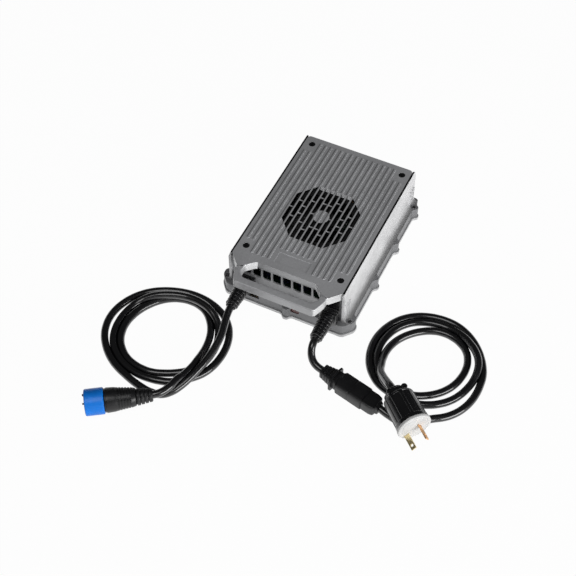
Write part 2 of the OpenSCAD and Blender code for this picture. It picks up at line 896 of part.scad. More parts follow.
module inlet_plug() {
  neck_l = 9;
  rib_step = 4.4;
  color("black")
    along(inline_start, inline_way) {
      for (i = [0:3])
        cut_box(i * rib_step, 3.4, 14 + i, 12 + i * 0.6, 2);
      cut_box(1, relief_l, 12, 10.4, 2);
      cut_box(relief_l, collar_t, collar_w, collar_h, 4);
      cut_box(relief_l + collar_t - 0.6, neck_l - collar_t + 1, collar_w - 8, collar_h - 5, 3);
      cut_box(relief_l + neck_l, inlet_l - neck_l, collar_w - 2, collar_h - 2, 4);
    }
}

module line_connector() {
  head_l = line_l - 3.4;
  head_x = relief_l + inlet_l;
  color("black")
    along(inline_start, inline_way) {
      cut_box(head_x, head_l, collar_w - 4.6, collar_h - 4.6, 3);
      cut_box(head_x + head_l - 0.4, line_l - head_l + 0.4, collar_w - 14, collar_h - 9, 2);
    }
}

module mains_cord_start() {
  color("black") tube(smooth(mains_start_route, 2, 1, 0), ac_cord_d);
}

// Outer shape of a loose coil of three turns lying on the floor
module coil(at, r_in, r_out) {
  soft = 5;
  translate(at)
    rotate_extrude($fn = 96)
      polygon(concat(
        arc([r_out - soft, soft], soft, -90, 0, 4),
        arc([r_out - soft - 3, coil_h - soft], soft, 0, 90, 4),
        arc([r_in + soft + 3, coil_h - soft], soft, 90, 180, 4),
        arc([r_in + soft, soft], soft, 180, 270, 4)
      ));
}

module mains_coil() {
  color("black") coil(mains_coil_at, 44, 73);
}

module mains_cord_end() {
  color("black") tube(smooth(mains_end_route, 2, 0, 1), ac_cord_d);
}

module plug_clamp() {
  screw_boss_d = 6;
  color("black")
    along(plug_rear, plug_way) {
      rod(-clamp_l, plug_d - 19, 4);
      rod(4 - clamp_l, plug_d - 10, clamp_l - 4);
      for (s = [-1, 1])
        translate([-clamp_l / 2 + 1, s * 9, 6]) cylinder(d = screw_boss_d, h = 6.4);
    }
}

module plug_shell() {
  flutes = 10;
  flute_d = 6;
  color("black")
    along(plug_rear, plug_way)
      difference() {
        rod(0, plug_d - 3.5, plug_l - face_t, plug_d);
        for (i = [0:flutes - 1])
          rotate([i * 360 / flutes + 18, 0, 0]) translate([-1, 0, plug_d / 2 + 1.2]) rotate([0, 90, 0])
            cylinder(d = flute_d, h = plug_l - face_t - 3);
      }
}

// The place of a blade on the plug's face
module blade_place(y) {
  along(plug_rear, plug_way) rotate([blade_roll, 0, 0]) translate([0, y, blade_z]) children();
}

// A slot in the plug's face round a blade
module blade_slot(w, h) {
  translate([plug_l - face_t - 1, -w / 2, -h / 2]) cube([face_t + 2, w, h]);
}

module plug_face() {
  color("white")
    difference() {
      along(plug_rear, plug_way) rod(plug_l - face_t, plug_d + 2 * rim, face_t);
      blade_place(live_y) blade_slot(blade_t + 0.2, blade_w + 1.6);
      blade_place(neutral_y) blade_slot(blade_w + 1.6, blade_t + 0.2);
    }
}

// A blade that stands out of the plug's face, with its flat side towards Y and a hole near its tip
module blade() {
  hole_d = 3.2;
  difference() {
    translate([plug_l - face_t, -blade_t / 2, -blade_w / 2]) cube([blade_l + face_t, blade_t, blade_w]);
    translate([plug_l + blade_l - 5, -blade_t, 0]) rotate([-90, 0, 0]) cylinder(d = hole_d, h = 2 * blade_t);
  }
}

// The two blades stand at right angles to each other
module plug_blade_live() {
  color("goldenrod")
    blade_place(live_y) blade();
}

module plug_blade_neutral() {
  color("goldenrod")
    blade_place(neutral_y) rotate([90, 0, 0]) blade();
}

module charge_lead() {
  color("black") tube(smooth(charge_lead_route, 2, 1, 0), dc_cord_d);
}

module charge_coil() {
  color("black") coil(charge_coil_at, 49, 77);
}

module charge_cord_end() {
  color("black") tube(smooth(charge_end_route, 2, 0, 1), dc_cord_d);
}

module charge_plug_boot() {
  rib_step = 4.4;
  rib_d = ring_d - 16;
  rib_growth = 1.5;
  color("black")
    along(charge_rear, charge_way) {
      rod(0, rib_d - 4.6, charge_boot_l);
      for (i = [0:3])
        rod(1 + i * rib_step, rib_d + i * rib_growth, 3.4);
    }
}

module charge_plug_barrel() {
  grooves = 5;
  groove_step = 3.4;
  groove_w = 0.9;
  rear_d = ring_d - 8;
  front_d = ring_d - 2;
  color("black")
    along(charge_rear, charge_way)
      difference() {
        rod(charge_boot_l, rear_d, charge_barrel_l - 0.4, front_d);
        for (i = [0:grooves - 1])
          translate([charge_boot_l + 6 + i * groove_step, 0, 0]) rotate([0, 90, 0])
            difference() {
              cylinder(d = ring_d + 9, h = groove_w);
              translate([0, 0, -1]) cylinder(d = rear_d - 0.6 + i * 0.6, h = groove_w + 2);
            }
      }
}

module charge_plug_insert() {
  pins = 5;
  pin_d = 3;
  pin_r = 6;
  key_l = 8;
  key_w = 2;
  insert_d = ring_bore_d - 0.1;
  color("black")
    along(charge_rear, charge_way) {
      difference() {
        rod(ring_x - 0.4, insert_d, charge_ring_l - 1);
        for (i = [0:pins - 1])
          rotate([i * 360 / pins, 0, 0]) translate([ring_x + 8, 0, pin_r]) rotate([0, 90, 0])
            cylinder(d = pin_d, h = charge_ring_l);
      }
      for (a = [-40, 40])
        rotate([a, 0, 0]) translate([ring_x + charge_ring_l - 6, -key_w / 2, insert_d / 2 - 3])
          cube([key_l, key_w, 2.4]);
    }
}

module coupling_ring() {
  flats = 9;
  scoop_d = 6;
  color("dodgerblue")
    along(charge_rear, charge_way)
      difference() {
        rod(ring_x, ring_d, charge_ring_l);
        rod(ring_x - 1, ring_bore_d, charge_ring_l + 2);
        for (i = [0:flats - 1])
          rotate([i * 360 / flats, 0, 0]) translate([ring_x + 3, 0, ring_d / 2 + 2.1]) rotate([0, 90, 0])
            cylinder(d = scoop_d, h = charge_ring_l);
      }
}

bottom_plate();
base_tray();
side_panel_right();
side_panel_left();
front_panel();
back_panel();
top_cover();
cover_gasket();
cover_screws();
lid_pillars();
base_screws();
fan_frame();
fan_rotor();
fan_screws();
main_board();
board_standoffs();
board_screws();
transformer_core();
transformer_winding();
choke_core();
choke_winding();
bulk_capacitors();
heat_sinks();
power_transistors();
bridge_rectifier();
control_card();
fuse();
relay();
mains_terminal_block();
output_terminal_block();
indicator_lens();
service_port();
port_contacts();
mains_bushing();
mains_boot();
charge_bushing();
charge_boot();
mains_lead();
inlet_plug();
line_connector();
mains_cord_start();
mains_coil();
mains_cord_end();
plug_clamp();
plug_shell();
plug_face();
plug_blade_live();
plug_blade_neutral();
charge_lead();
charge_coil();
charge_cord_end();
charge_plug_boot();
charge_plug_barrel();
charge_plug_insert();
coupling_ring();
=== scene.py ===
"""Looks of an electric motorcycle charger: case, cords, couplings and plug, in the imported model's frame.

The camera and the cords are made first, then one class makes each sub-assembly, and the studio comes last.
Sizes are written in millimetres and turned into metres where a mesh is made.
"""

import logging
import math
from dataclasses import dataclass
from enum import Enum
from typing import Callable, Optional, Sequence, Union

import bmesh
import bpy
from mathutils import Matrix, Vector


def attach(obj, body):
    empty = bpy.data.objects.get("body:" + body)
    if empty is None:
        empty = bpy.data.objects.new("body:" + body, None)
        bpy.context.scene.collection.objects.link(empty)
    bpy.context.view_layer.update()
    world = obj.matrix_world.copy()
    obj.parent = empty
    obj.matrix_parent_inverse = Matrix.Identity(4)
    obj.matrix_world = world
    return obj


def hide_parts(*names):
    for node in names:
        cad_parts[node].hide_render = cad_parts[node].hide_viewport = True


logging.basicConfig(level=logging.INFO, format="%(name)s: %(message)s")
log = logging.getLogger("charger")

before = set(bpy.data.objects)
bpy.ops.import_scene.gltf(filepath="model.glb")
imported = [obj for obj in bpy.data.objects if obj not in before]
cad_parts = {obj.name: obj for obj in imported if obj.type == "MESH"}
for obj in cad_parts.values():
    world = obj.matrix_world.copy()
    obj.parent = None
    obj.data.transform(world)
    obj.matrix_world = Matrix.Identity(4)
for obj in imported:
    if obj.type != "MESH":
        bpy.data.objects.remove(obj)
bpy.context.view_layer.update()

MM = 0.001
MERGE_WITHIN = 0.004
FLAT_WITHIN = 0.6
NORMAL_WEIGHT = 90
CORD_D = 9.2
FLOOR_GAP = 0.1

Point = tuple[float, float, float]
Colour = tuple[float, float, float]
Piece = bpy.types.Object
Material = bpy.types.Material


def lying(*points: Sequence[float]) -> tuple[Point, ...]:
    """A cord's route through its middles in millimetres; a point of two numbers rests on the floor."""
    rest = round(CORD_D / 2 + FLOOR_GAP, 3)
    return tuple((*place, rest) if len(place) == 2 else tuple(place) for place in points)


def stepped(base: Sequence[float], *steps: Sequence[float]) -> list[tuple[float, ...]]:
    """Stations written as differences from a base: the distance first, then the sizes."""
    return [tuple(b + d for b, d in zip(base, step)) for step in steps]


def off_middle(mid: Vector, start: float, step: float) -> float:
    """How many degrees round Z a point is from the middle of its step; the steps count from start."""
    return abs((math.degrees(math.atan2(mid.y, mid.x)) - start) % step - step / 2)


def shade(colour: Colour, share: float, lift: float = 0.0) -> Colour:
    """A darker or brighter colour, at most white."""
    return tuple(min(1.0, c * share + lift) for c in colour)


# The mains cord runs from the line connector to the plug, the charging cord from its boot to its connector,
# and the short lead from the mains boot to the inlet plug. The coils' points are about 13 mm apart.
MAINS_CORD_ROUTE = lying(
    (159.8, -179.0, 10.5), (172.1, -181.8, 8.7), (184.5, -181.7, 5.5), (196.3, -176.5, 4.8),
    (207.2, -169.5), (217.7, -161.9), (228.4, -154.5), (237.3, -145.1), (243.9, -133.9), (248.1, -121.7),
    (250.0, -108.8), (249.9, -95.9), (248.2, -83.0), (243.7, -70.9), (237.2, -59.6), (229.1, -49.4),
    (219.6, -40.7), (208.6, -33.7), (196.5, -29.0), (183.7, -27.3), (170.8, -28.1), (158.2, -31.2),
    (146.4, -36.6), (136.0, -44.3), (127.5, -54.1), (121.2, -65.5), (117.1, -77.8), (115.4, -90.6),
    (116.2, -103.6), (119.4, -116.1), (125.3, -127.7), (133.7, -137.5), (144.1, -145.2), (156.3, -149.7),
    (168.8, -153.0), (181.8, -153.7), (194.5, -151.4), (206.6, -146.8), (217.5, -139.8), (226.7, -130.6),
    (233.5, -119.6), (238.0, -107.4), (240.7, -94.8, 5.9), (240.8, -82.3, 9.4), (237.2, -70.1, 11.5),
    (230.0, -59.4, 11.3), (220.5, -50.5, 10.1), (209.9, -43.2, 8.4), (198.2, -38.2, 6.3),
    (185.5, -36.2, 4.8), (172.5, -37.0), (160.0, -40.0), (148.3, -45.7), (138.6, -54.2), (131.2, -64.9),
    (126.4, -77.0), (124.2, -89.7), (124.8, -102.7), (127.8, -115.3), (134.1, -126.5, 5.0),
    (142.3, -136.1, 8.1), (151.2, -144.6, 12.1), (162.9, -149.7, 13.3), (175.4, -148.6, 11.3),
    (186.6, -143.7, 7.0), (197.6, -137.2), (208.1, -129.6), (216.8, -119.9), (223.0, -108.5),
    (226.4, -96.1), (227.2, -83.1), (224.7, -70.4), (218.5, -59.1), (208.5, -51.0), (196.4, -46.4),
    (183.5, -45.5), (171.0, -48.7), (159.7, -55.2), (150.0, -63.8), (142.1, -74.1), (136.6, -85.8),
    (134.1, -98.5, 5.2), (134.9, -111.2, 7.2), (137.6, -123.3, 11.3), (141.4, -134.8, 15.9),
    (148.1, -144.1, 21.7), (155.3, -152.6, 28.5), (163.2, -160.8, 34.7), (172.5, -169.0, 38.0),
)
CHARGING_CORD_ROUTE = lying(
    (-52.0, -136.0, 28.5), (-50.3, -148.7, 27.7), (-47.3, -161.3, 26.3), (-44.7, -173.7, 23.9),
    (-44.3, -186.3, 20.8), (-45.1, -199.0, 18.2), (-46.9, -211.6, 15.9), (-49.9, -224.1, 13.8),
    (-53.8, -236.2, 11.2), (-58.9, -247.7, 8.1), (-65.7, -258.4, 5.5), (-75.5, -266.7), (-88.1, -268.9),
    (-101.0, -267.5), (-113.6, -264.6), (-126.0, -260.5), (-138.1, -255.9), (-149.5, -249.8),
    (-159.9, -242.0), (-168.9, -232.7), (-176.4, -222.1), (-181.5, -210.2), (-183.9, -197.5),
    (-183.4, -184.6), (-180.1, -172.1), (-174.5, -160.5), (-166.8, -150.0), (-157.3, -141.2),
    (-146.3, -134.3), (-134.4, -129.1), (-122.0, -125.5), (-109.1, -123.7), (-96.2, -124.0),
    (-83.5, -126.4), (-71.3, -130.9), (-60.1, -137.5), (-50.7, -146.4), (-43.7, -157.3), (-39.3, -169.5),
    (-37.4, -182.3), (-37.7, -195.2), (-40.1, -208.0), (-45.1, -219.9), (-53.0, -230.1), (-62.4, -239.0),
    (-73.0, -246.4), (-85.2, -250.9), (-97.9, -253.2), (-110.9, -253.7), (-123.6, -251.7), (-135.9, -247.5),
    (-147.1, -241.0), (-156.9, -232.6), (-164.4, -222.0), (-169.1, -209.9), (-171.1, -197.1),
    (-170.7, -184.2), (-167.7, -171.6, 4.9), (-161.5, -160.5, 7.2), (-152.3, -152.3, 11.0),
    (-141.1, -146.2, 13.3), (-129.4, -140.7, 13.6), (-117.1, -136.6, 13.3), (-104.3, -135.0, 13.4),
    (-91.4, -136.2, 13.6), (-78.9, -139.8, 12.7), (-68.0, -145.9, 9.6), (-59.5, -154.9, 6.2),
    (-53.5, -166.3), (-49.9, -178.7), (-49.1, -191.7), (-50.8, -204.5), (-56.0, -216.3), (-64.5, -226.1),
    (-75.0, -233.7), (-86.5, -239.7), (-98.7, -244.0), (-111.6, -245.1), (-124.4, -243.3), (-136.5, -238.7),
    (-146.8, -230.9), (-155.0, -220.9), (-160.0, -209.0), (-161.9, -196.2), (-160.6, -183.3),
    (-156.7, -171.0), (-150.5, -159.6), (-142.4, -149.5), (-132.3, -141.4), (-120.5, -136.0),
    (-107.8, -133.8), (-94.9, -135.2), (-83.2, -140.7), (-73.9, -149.6), (-66.7, -160.4), (-62.1, -172.5),
    (-59.6, -185.2, 5.5), (-58.2, -197.8, 8.3), (-57.5, -210.2, 11.9), (-58.3, -223.0, 13.0),
    (-61.5, -235.5, 13.2), (-64.6, -247.6, 16.3), (-67.0, -260.3, 16.6), (-73.2, -271.5, 15.9),
    (-83.2, -279.8, 15.5),
)
MAINS_LEAD_ROUTE = lying(
    (58.0, -126.0, 28.5), (58.0, -132.0, 28.5), (58.0, -138.0, 28.2), (58.4, -143.5, 26.6),
    (59.6, -148.5, 22.6), (62.2, -152.8, 18.0), (66.4, -156.2, 14.2), (71.6, -158.2, 11.8),
    (77.0, -159.3, 10.7), (83.0, -160.7, 10.5),
)


class Body(str, Enum):
    """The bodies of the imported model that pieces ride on."""

    CHARGER = "charger"
    RING = "ring"


class Pick(str, Enum):
    """What edit mode selects."""

    VERT = "VERT"
    EDGE = "EDGE"
    FACE = "FACE"


class Bench:
    """Shapes one object at a time with Blender's own operators."""

    @staticmethod
    def take(*pieces: Piece) -> None:
        """Leaves object mode with only these objects selected, and the first of them active."""
        active = bpy.context.view_layer.objects.active
        if active is not None and active.mode != "OBJECT":
            bpy.ops.object.mode_set(mode="OBJECT")
        bpy.ops.object.select_all(action="DESELECT")
        for piece in pieces:
            piece.select_set(True)
        bpy.context.view_layer.objects.active = pieces[0] if pieces else None

    @classmethod
    def edit(cls, piece: Piece, pick: Pick = Pick.FACE) -> None:
        """Opens a piece in edit mode with nothing selected."""
        cls.take(piece)
        bpy.ops.object.mode_set(mode="EDIT")
        bpy.ops.mesh.select_mode(type=pick.value)
        bpy.ops.mesh.select_all(action="DESELECT")

    @staticmethod
    def close() -> None:
        """Goes back to object mode."""
        bpy.ops.object.mode_set(mode="OBJECT")

    @classmethod
    def face_out(cls) -> None:
        """Turns all normals outwards and goes back to object mode."""
        bpy.ops.mesh.select_all(action="SELECT")
        bpy.ops.mesh.normals_make_consistent(inside=False)
        cls.close()

    @classmethod
    def apply(cls, piece: Piece) -> None:
        """Applies a piece's place, turn and scale to its mesh."""
        cls.take(piece)
        bpy.ops.object.transform_apply(location=True, rotation=True, scale=True)

    @classmethod
    def modify(cls, piece: Piece, kind: str, **settings: object) -> None:
        """Adds a modifier with its settings and applies it."""
        cls.take(piece)
        made = piece.modifiers.new(kind, kind)
        for key, value in settings.items():
            setattr(made, key, value)
        bpy.ops.object.modifier_apply(modifier=made.name)

    @classmethod
    def cube(cls, place: Point, sizes: Point, turn: float = 0.0) -> Piece:
        """Adds a box; its place and sizes are in millimetres and its turn about Z in degrees."""
        cls.take()
        place = [c * MM for c in place]
        turned = (0, 0, math.radians(turn))
        bpy.ops.mesh.primitive_cube_add(size=MM, location=place, rotation=turned, scale=sizes)
        piece = bpy.context.object
        cls.apply(piece)
        return piece

    @staticmethod
    def choose(piece: Piece, test: Callable[..., bool], pick: Pick = Pick.FACE) -> int:
        """Selects the faces or the edges that a test accepts.

        Args:
            piece: the object in edit mode.
            test: takes a face's middle and normal, or an edge's two ends and the degrees between its faces;
                places are in millimetres.
            pick: whether it tests faces or edges.

        Returns:
            How many are selected.
        """
        mesh = bmesh.from_edit_mesh(piece.data)
        if pick is Pick.FACE:
            told = {face: (face.calc_center_median() / MM, face.normal) for face in mesh.faces}
        else:
            told = {
                edge: (*(end.co / MM for end in edge.verts), math.degrees(edge.calc_face_angle(0.0)))
                for edge in mesh.edges
            }
        for part, facts in told.items():
            part.select_set(bool(test(*facts)))
        bmesh.update_edit_mesh(piece.data)
        return sum(part.select for part in told)

    @classmethod
    def turned(cls, name: str, stations: Sequence[tuple[float, float]], sides: int = 56) -> Piece:
        """A closed round piece along +Z, through stations of distance and radius in millimetres."""
        return cls._grow(name, [(z, r, r) for z, r in stations], sides)

    @classmethod
    def boxed(cls, name: str, stations: Sequence[tuple[float, float, float]], cut: float) -> Piece:
        """An oblong piece along +Z with cut corners, through stations of distance, width and height."""
        return cls._grow(name, [(z, w / 2, h / 2) for z, w, h in stations], 4, cut)

    @classmethod
    def _grow(cls, name: str, rings: Sequence[Point], sides: int, cut: float = 0.0) -> Piece:
        """Extrudes and scales one face along +Z through the given half sizes."""
        cls.take()
        z, half_x, half_y = rings[0]
        if sides == 4:
            bpy.ops.mesh.primitive_plane_add(size=2 * MM, location=(0, 0, z * MM))
        else:
            place = (0, 0, z * MM)
            bpy.ops.mesh.primitive_circle_add(vertices=sides, radius=MM, fill_type="NGON", location=place)
        piece = bpy.context.object
        piece.name = piece.data.name = name
        bpy.ops.object.mode_set(mode="EDIT")
        bpy.ops.mesh.select_all(action="SELECT")
        bpy.ops.transform.resize(value=(half_x, half_y, 1), center_override=(0, 0, 0))
        if cut > 0:
            bpy.ops.mesh.bevel(offset=cut * MM, segments=2, affect="VERTICES")
            bpy.ops.mesh.select_all(action="SELECT")
        bpy.ops.mesh.select_mode(type="FACE")
        for (z0, x0, y0), (z1, x1, y1) in zip(rings, rings[1:]):
            bpy.ops.mesh.extrude_region_move(TRANSFORM_OT_translate={"value": (0, 0, (z1 - z0) * MM)})
            bpy.ops.transform.resize(value=(x1 / x0, y1 / y0, 1), center_override=(0, 0, 0))
        cls.face_out()
        return piece

    @classmethod
    def recut(cls, node: str, name: str) -> Piece:
        """Copies a CAD node for finer edges: merged, with its flat faces joined, and standing for that node.

        Args:
            node: the CAD node.
            name: the new piece's name.

        Returns:
            The copy.
        """
        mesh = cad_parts[node].data.copy()
        mesh.name = name
        mesh.materials.clear()
        piece = bpy.data.objects.new(name, mesh)
        bpy.context.scene.collection.objects.link(piece)
        cls.edit(piece, Pick.VERT)
        bpy.ops.mesh.select_all(action="SELECT")
        bpy.ops.mesh.remove_doubles(threshold=MERGE_WITHIN * MM)
        bpy.ops.mesh.customdata_custom_splitnormals_clear()
        bpy.ops.mesh.dissolve_limited(angle_limit=math.radians(FLAT_WITHIN))
        bpy.ops.mesh.select_all(action="SELECT")
        bpy.ops.mesh.vert_connect_concave()
        cls.close()
        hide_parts(node)
        return piece

    @classmethod
    def soften(cls, piece: Piece, width: float, segments: int = 2, angle: float = 34.0) -> None:
        """Rounds the edges that bend by more than angle degrees, over a width in millimetres."""
        cls.modify(
            piece, "BEVEL", width=width * MM, segments=segments, limit_method="ANGLE",
            angle_limit=math.radians(angle), harden_normals=False, miter_outer="MITER_ARC",
        )

    @classmethod
    def join(cls, first: Piece, *others: Piece) -> Piece:
        """Joins pieces into the first one."""
        cls.take(first, *others)
        bpy.ops.object.join()
        return first

    @classmethod
    def carve(cls, piece: Piece, cutter: Piece, join: bool = False) -> None:
        """Cuts one object out of a piece, or joins it on, with a Boolean modifier, and removes the cutter."""
        operation = "UNION" if join else "DIFFERENCE"
        cls.modify(piece, "BOOLEAN", operation=operation, solver="EXACT", object=cutter)
        bpy.data.objects.remove(cutter, do_unlink=True)


@dataclass(frozen=True)
class Lie:
    """A place and a direction in plan, for pieces laid along a cord.

    The piece's own +Z goes along the direction, its +Y stays upright and its +X points to the left of it.
    """

    at: Point
    way: tuple[float, float]

    def lay(self, piece: Piece) -> Piece:
        """Turns and moves a piece that stands along +Z, and applies it."""
        along = Vector((*self.way, 0.0)).normalized()
        turn = Matrix(((-along.y, 0.0, along.x), (along.x, 0.0, along.y), (0.0, 1.0, 0.0))).to_4x4()
        piece.matrix_world = Matrix.Translation(Vector(self.at) * MM) @ turn @ piece.matrix_world
        Bench.apply(piece)
        return piece


Feed = Union["Sock", float, tuple]


def sum_node(operation: str, swapped: bool = False) -> Callable[..., "Sock"]:
    """Makes an operator of Sock that adds one Math node; a swapped one has the other value first."""

    def operator(self: "Sock", other: Feed = 0.0) -> "Sock":
        """Adds the node."""
        first, second = (other, self) if swapped else (self, other)
        return self.recipe.node("ShaderNodeMath", {"operation": operation}, {0: first, 1: second})

    return operator


class Sock:
    """An output socket that can be used in sums; each operator adds its Math node."""

    def __init__(self, recipe: "Recipe", socket: bpy.types.NodeSocket) -> None:
        """Keeps the material under construction and the socket."""
        self.recipe = recipe
        self.socket = socket

    __add__ = sum_node("ADD")
    __radd__ = sum_node("ADD", swapped=True)
    __sub__ = sum_node("SUBTRACT")
    __rsub__ = sum_node("SUBTRACT", swapped=True)
    __mul__ = sum_node("MULTIPLY")
    __truediv__ = sum_node("DIVIDE")
    __mod__ = sum_node("FLOORED_MODULO")
    __abs__ = sum_node("ABSOLUTE")
    greater = sum_node("GREATER_THAN")

    def between(self, low: float, high: float) -> "Sock":
        """0 below low, 1 above high and a smooth step between them."""
        limits = {"Value": self, "From Min": low, "From Max": high}
        return self.recipe.node("ShaderNodeMapRange", {"interpolation_type": "SMOOTHSTEP"}, limits)

    def band(self, rise: float, full: float, fade: float, end: float) -> "Sock":
        """1 from full to fade, 0 before rise and after end, and smooth steps between them."""
        return self.between(rise, full) * (1.0 - self.between(fade, end))

    def clamped(self) -> "Sock":
        """This, kept between 0 and 1."""
        return self.recipe.node("ShaderNodeMath", {"operation": "ADD", "use_clamp": True}, {0: self, 1: 0.0})


class Recipe:
    """A material under construction, with one Principled shader."""

    def __init__(self, name: str) -> None:
        """Starts an empty node material."""
        self.material = bpy.data.materials.new(name)
        self.material.use_nodes = True
        self.tree = self.material.node_tree
        self.tree.nodes.clear()
        self.out = self.tree.nodes.new("ShaderNodeOutputMaterial")
        self.shader = self.tree.nodes.new("ShaderNodeBsdfPrincipled")
        self.tree.links.new(self.shader.outputs[0], self.out.inputs[0])

    def feed(self, socket: bpy.types.NodeSocket, value: Feed) -> None:
        """Links a socket or writes its number or colour."""
        if isinstance(value, Sock):
            self.tree.links.new(value.socket, socket)
        elif isinstance(value, tuple) and socket.type == "RGBA" and len(value) == 3:
            socket.default_value = (*value, 1.0)
        else:
            socket.default_value = value

    def node(
        self, kind: str, settings: Optional[dict] = None, sockets: Optional[dict] = None, output: int = 0
    ) -> Sock:
        """Adds one node.

        Args:
            kind: the node's type.
            settings: its properties, set before the sockets.
            sockets: values or links of its inputs, by name or number.
            output: which output is returned.

        Returns:
            The output socket.
        """
        made = self.tree.nodes.new(kind)
        for key, value in (settings or {}).items():
            setattr(made, key, value)
        for key, value in (sockets or {}).items():
            self.feed(made.inputs[key], value)
        return Sock(self, made.outputs[output])

    def where(self, stretch: Point = (1.0, 1.0, 1.0), turn: float = 0.0) -> Sock:
        """Object coordinates, stretched along the axes and turned about Z by some degrees."""
        place = self.node("ShaderNodeTexCoord", output=3)
        turned = (0, 0, math.radians(turn))
        return self.node("ShaderNodeMapping", None, {"Vector": place, "Scale": stretch, "Rotation": turned})

    def along(self, axis: int) -> Sock:
        """One object coordinate in millimetres: 0 for x, 1 for y and 2 for z."""
        return self.node("ShaderNodeSeparateXYZ", None, {0: self.where()}, output=axis) * (1.0 / MM)

    def noise(
        self, size: float, detail: float = 3.0, vector: Optional[Sock] = None, rough: float = 0.55
    ) -> Sock:
        """Noise from 0 to 1 whose blotches are about as many millimetres wide as size says."""
        at = {"Vector": vector or self.where(), "Scale": 1.0 / (size * MM)}
        return self.node("ShaderNodeTexNoise", None, {**at, "Detail": detail, "Roughness": rough})

    def cells(self, size: float) -> Sock:
        """Distance to the nearest cell's middle, for cells about size millimetres wide."""
        return self.node("ShaderNodeTexVoronoi", None, {"Vector": self.where(), "Scale": 1.0 / (size * MM)})

    def mix(self, share: Feed, first: Feed, second: Feed) -> Sock:
        """A colour between two colours."""
        made = self.tree.nodes.new("ShaderNodeMix")
        made.data_type = "RGBA"
        for index, value in ((0, share), (6, first), (7, second)):
            self.feed(made.inputs[index], value)
        return Sock(self, made.outputs[2])

    def edges(self, width: float) -> Sock:
        """0 on flat faces, rising to 1 on edges, over a width in millimetres."""
        rounded = self.node("ShaderNodeBevel", {"samples": 6}, {"Radius": width * MM})
        flat = self.node("ShaderNodeNewGeometry", output=1)
        dot = {"operation": "DOT_PRODUCT"}
        return (1.0 - self.node("ShaderNodeVectorMath", dot, {0: rounded, 1: flat}, 1)).between(0.01, 0.16)

    def bump(self, height: Sock, depth: float, strength: float = 1.0, under: Optional[Sock] = None) -> Sock:
        """A normal for a height from 0 to 1 that stands for a depth in millimetres."""
        sockets = {"Height": height, "Distance": depth * MM, "Strength": strength}
        if under is not None:
            sockets["Normal"] = under
        return self.node("ShaderNodeBump", None, sockets)

    def finish(self, **inputs: Feed) -> Material:
        """Feeds the shader; a name's underscores stand for spaces.

        Returns:
            The material.
        """
        for key, value in inputs.items():
            self.feed(self.shader.inputs[key.replace("_", " ")], value)
        return self.material


@dataclass(frozen=True)
class RibLines:
    """Painted shade beside the left side of each of the lid's long ribs and a painted highlight on its right
    edge, as from light on the right; the places are in millimetres.

    The ribs count from the middle. The inner ones stop behind the pad, the next ones run on to the handle,
    and the outermost ones lie between the front and the rear screws.
    """

    pitch: float = 7.2
    inner: float = 3.5
    long: float = 7.5
    last: float = 9.4
    pad_back: float = -61.0
    past_pad: float = 20.0
    screws_front: float = 97.0
    past_screws: float = 18.0
    foot: tuple[float, ...] = (-2.5, -2.0, -1.2, -0.8)
    rim: tuple[float, ...] = (-0.2, 0.3, 1.2, 1.7)
    shade_line_share: float = 0.7
    highlight_share: float = 0.25

    def draw(self, r: Recipe, base: Sock, colour: Colour, bare: Colour) -> Sock:
        """Draws the lines.

        Args:
            r: the recipe.
            base: the colour so far.
            colour: the metal's own colour.
            bare: the bare metal's colour, used for the painted highlight.

        Returns:
            The colour with the lines.
        """
        x, y = r.along(0), r.along(1)
        full = 1.0 - abs(x).greater(self.long * self.pitch)
        ahead = abs(x).greater(self.inner * self.pitch) * full
        ribbed = y.greater(self.pad_back - ahead * self.past_pad)
        ribbed = ribbed * (full * self.past_screws + self.screws_front - y).greater(0.0)
        ribbed = ribbed * (1.0 - abs(x).greater(self.last * self.pitch))
        across = ((x / self.pitch + 0.5) % 1.0 - 0.5) * self.pitch
        # The shade line is painted shade beside each rib's left side; the rim is a painted highlight on its
        # right edge.
        foot, rim = across.band(*self.foot), across.band(*self.rim)
        base = r.mix(foot * ribbed * self.shade_line_share, base, shade(colour, 0.3))
        return r.mix(rim * ribbed * self.highlight_share, base, bare)


@dataclass(frozen=True)
class CastMetal:
    """Aluminium with a cast or drawn skin: fine lines one way, a grainy skin, and bare metal on its edges."""

    colour: Colour
    roughness: float = 0.42
    metallic: float = 0.4
    lines: float = 0.1
    grain: float = 0.03
    wear: float = 0.5
    wear_width: float = 0.4
    bare: Colour = (0.62, 0.62, 0.63)
    painted_shade_below: tuple[float, float] = (0.0, 0.0)
    ribs: Optional[RibLines] = None
    mottle: float = 0.5

    def make(self, name: str) -> Material:
        """Builds the material under a name."""
        r = Recipe(name)
        drawn = r.noise(0.9, 4.0, r.where((1.0, 0.02, 1.0)), 0.7)
        clouds = r.noise(38.0, 3.0)
        skin = r.noise(0.55, 3.0)
        speck = r.noise(2.6, 5.0, None, 0.7)
        blotch = (clouds * (1.0 - self.mottle) + speck * self.mottle).between(0.36, 0.66)
        base = r.mix(blotch, shade(self.colour, 0.9), shade(self.colour, 1.06))
        base = r.mix(drawn.between(0.42, 0.72) * self.lines, base, shade(self.colour, 0.62))
        edge = (r.edges(self.wear_width) * (speck.between(0.3, 0.6) * 0.6 + 0.4)).clamped()
        base = r.mix(edge * self.wear, base, self.bare)
        # Painted shade: the metal goes dark below a height, standing for the shade on the panel's flared
        # lower edge.
        if self.painted_shade_below[1] > 0:
            low = 1.0 - r.along(2).between(*self.painted_shade_below)
            base = r.mix(low * (0.75 + clouds * 0.25), base, shade(self.colour, 0.22))
        if self.ribs:
            base = self.ribs.draw(r, base, self.colour, self.bare)
        rough = self.roughness + (clouds - 0.5) * 0.05 + (speck - 0.5) * (0.28 * self.mottle) - edge * 0.1
        height = skin * 0.6 + speck * 0.4 + drawn * self.lines
        return r.finish(
            Base_Color=base, Metallic=self.metallic, Roughness=rough.clamped(),
            Normal=r.bump(height, self.grain, 0.7),
        )


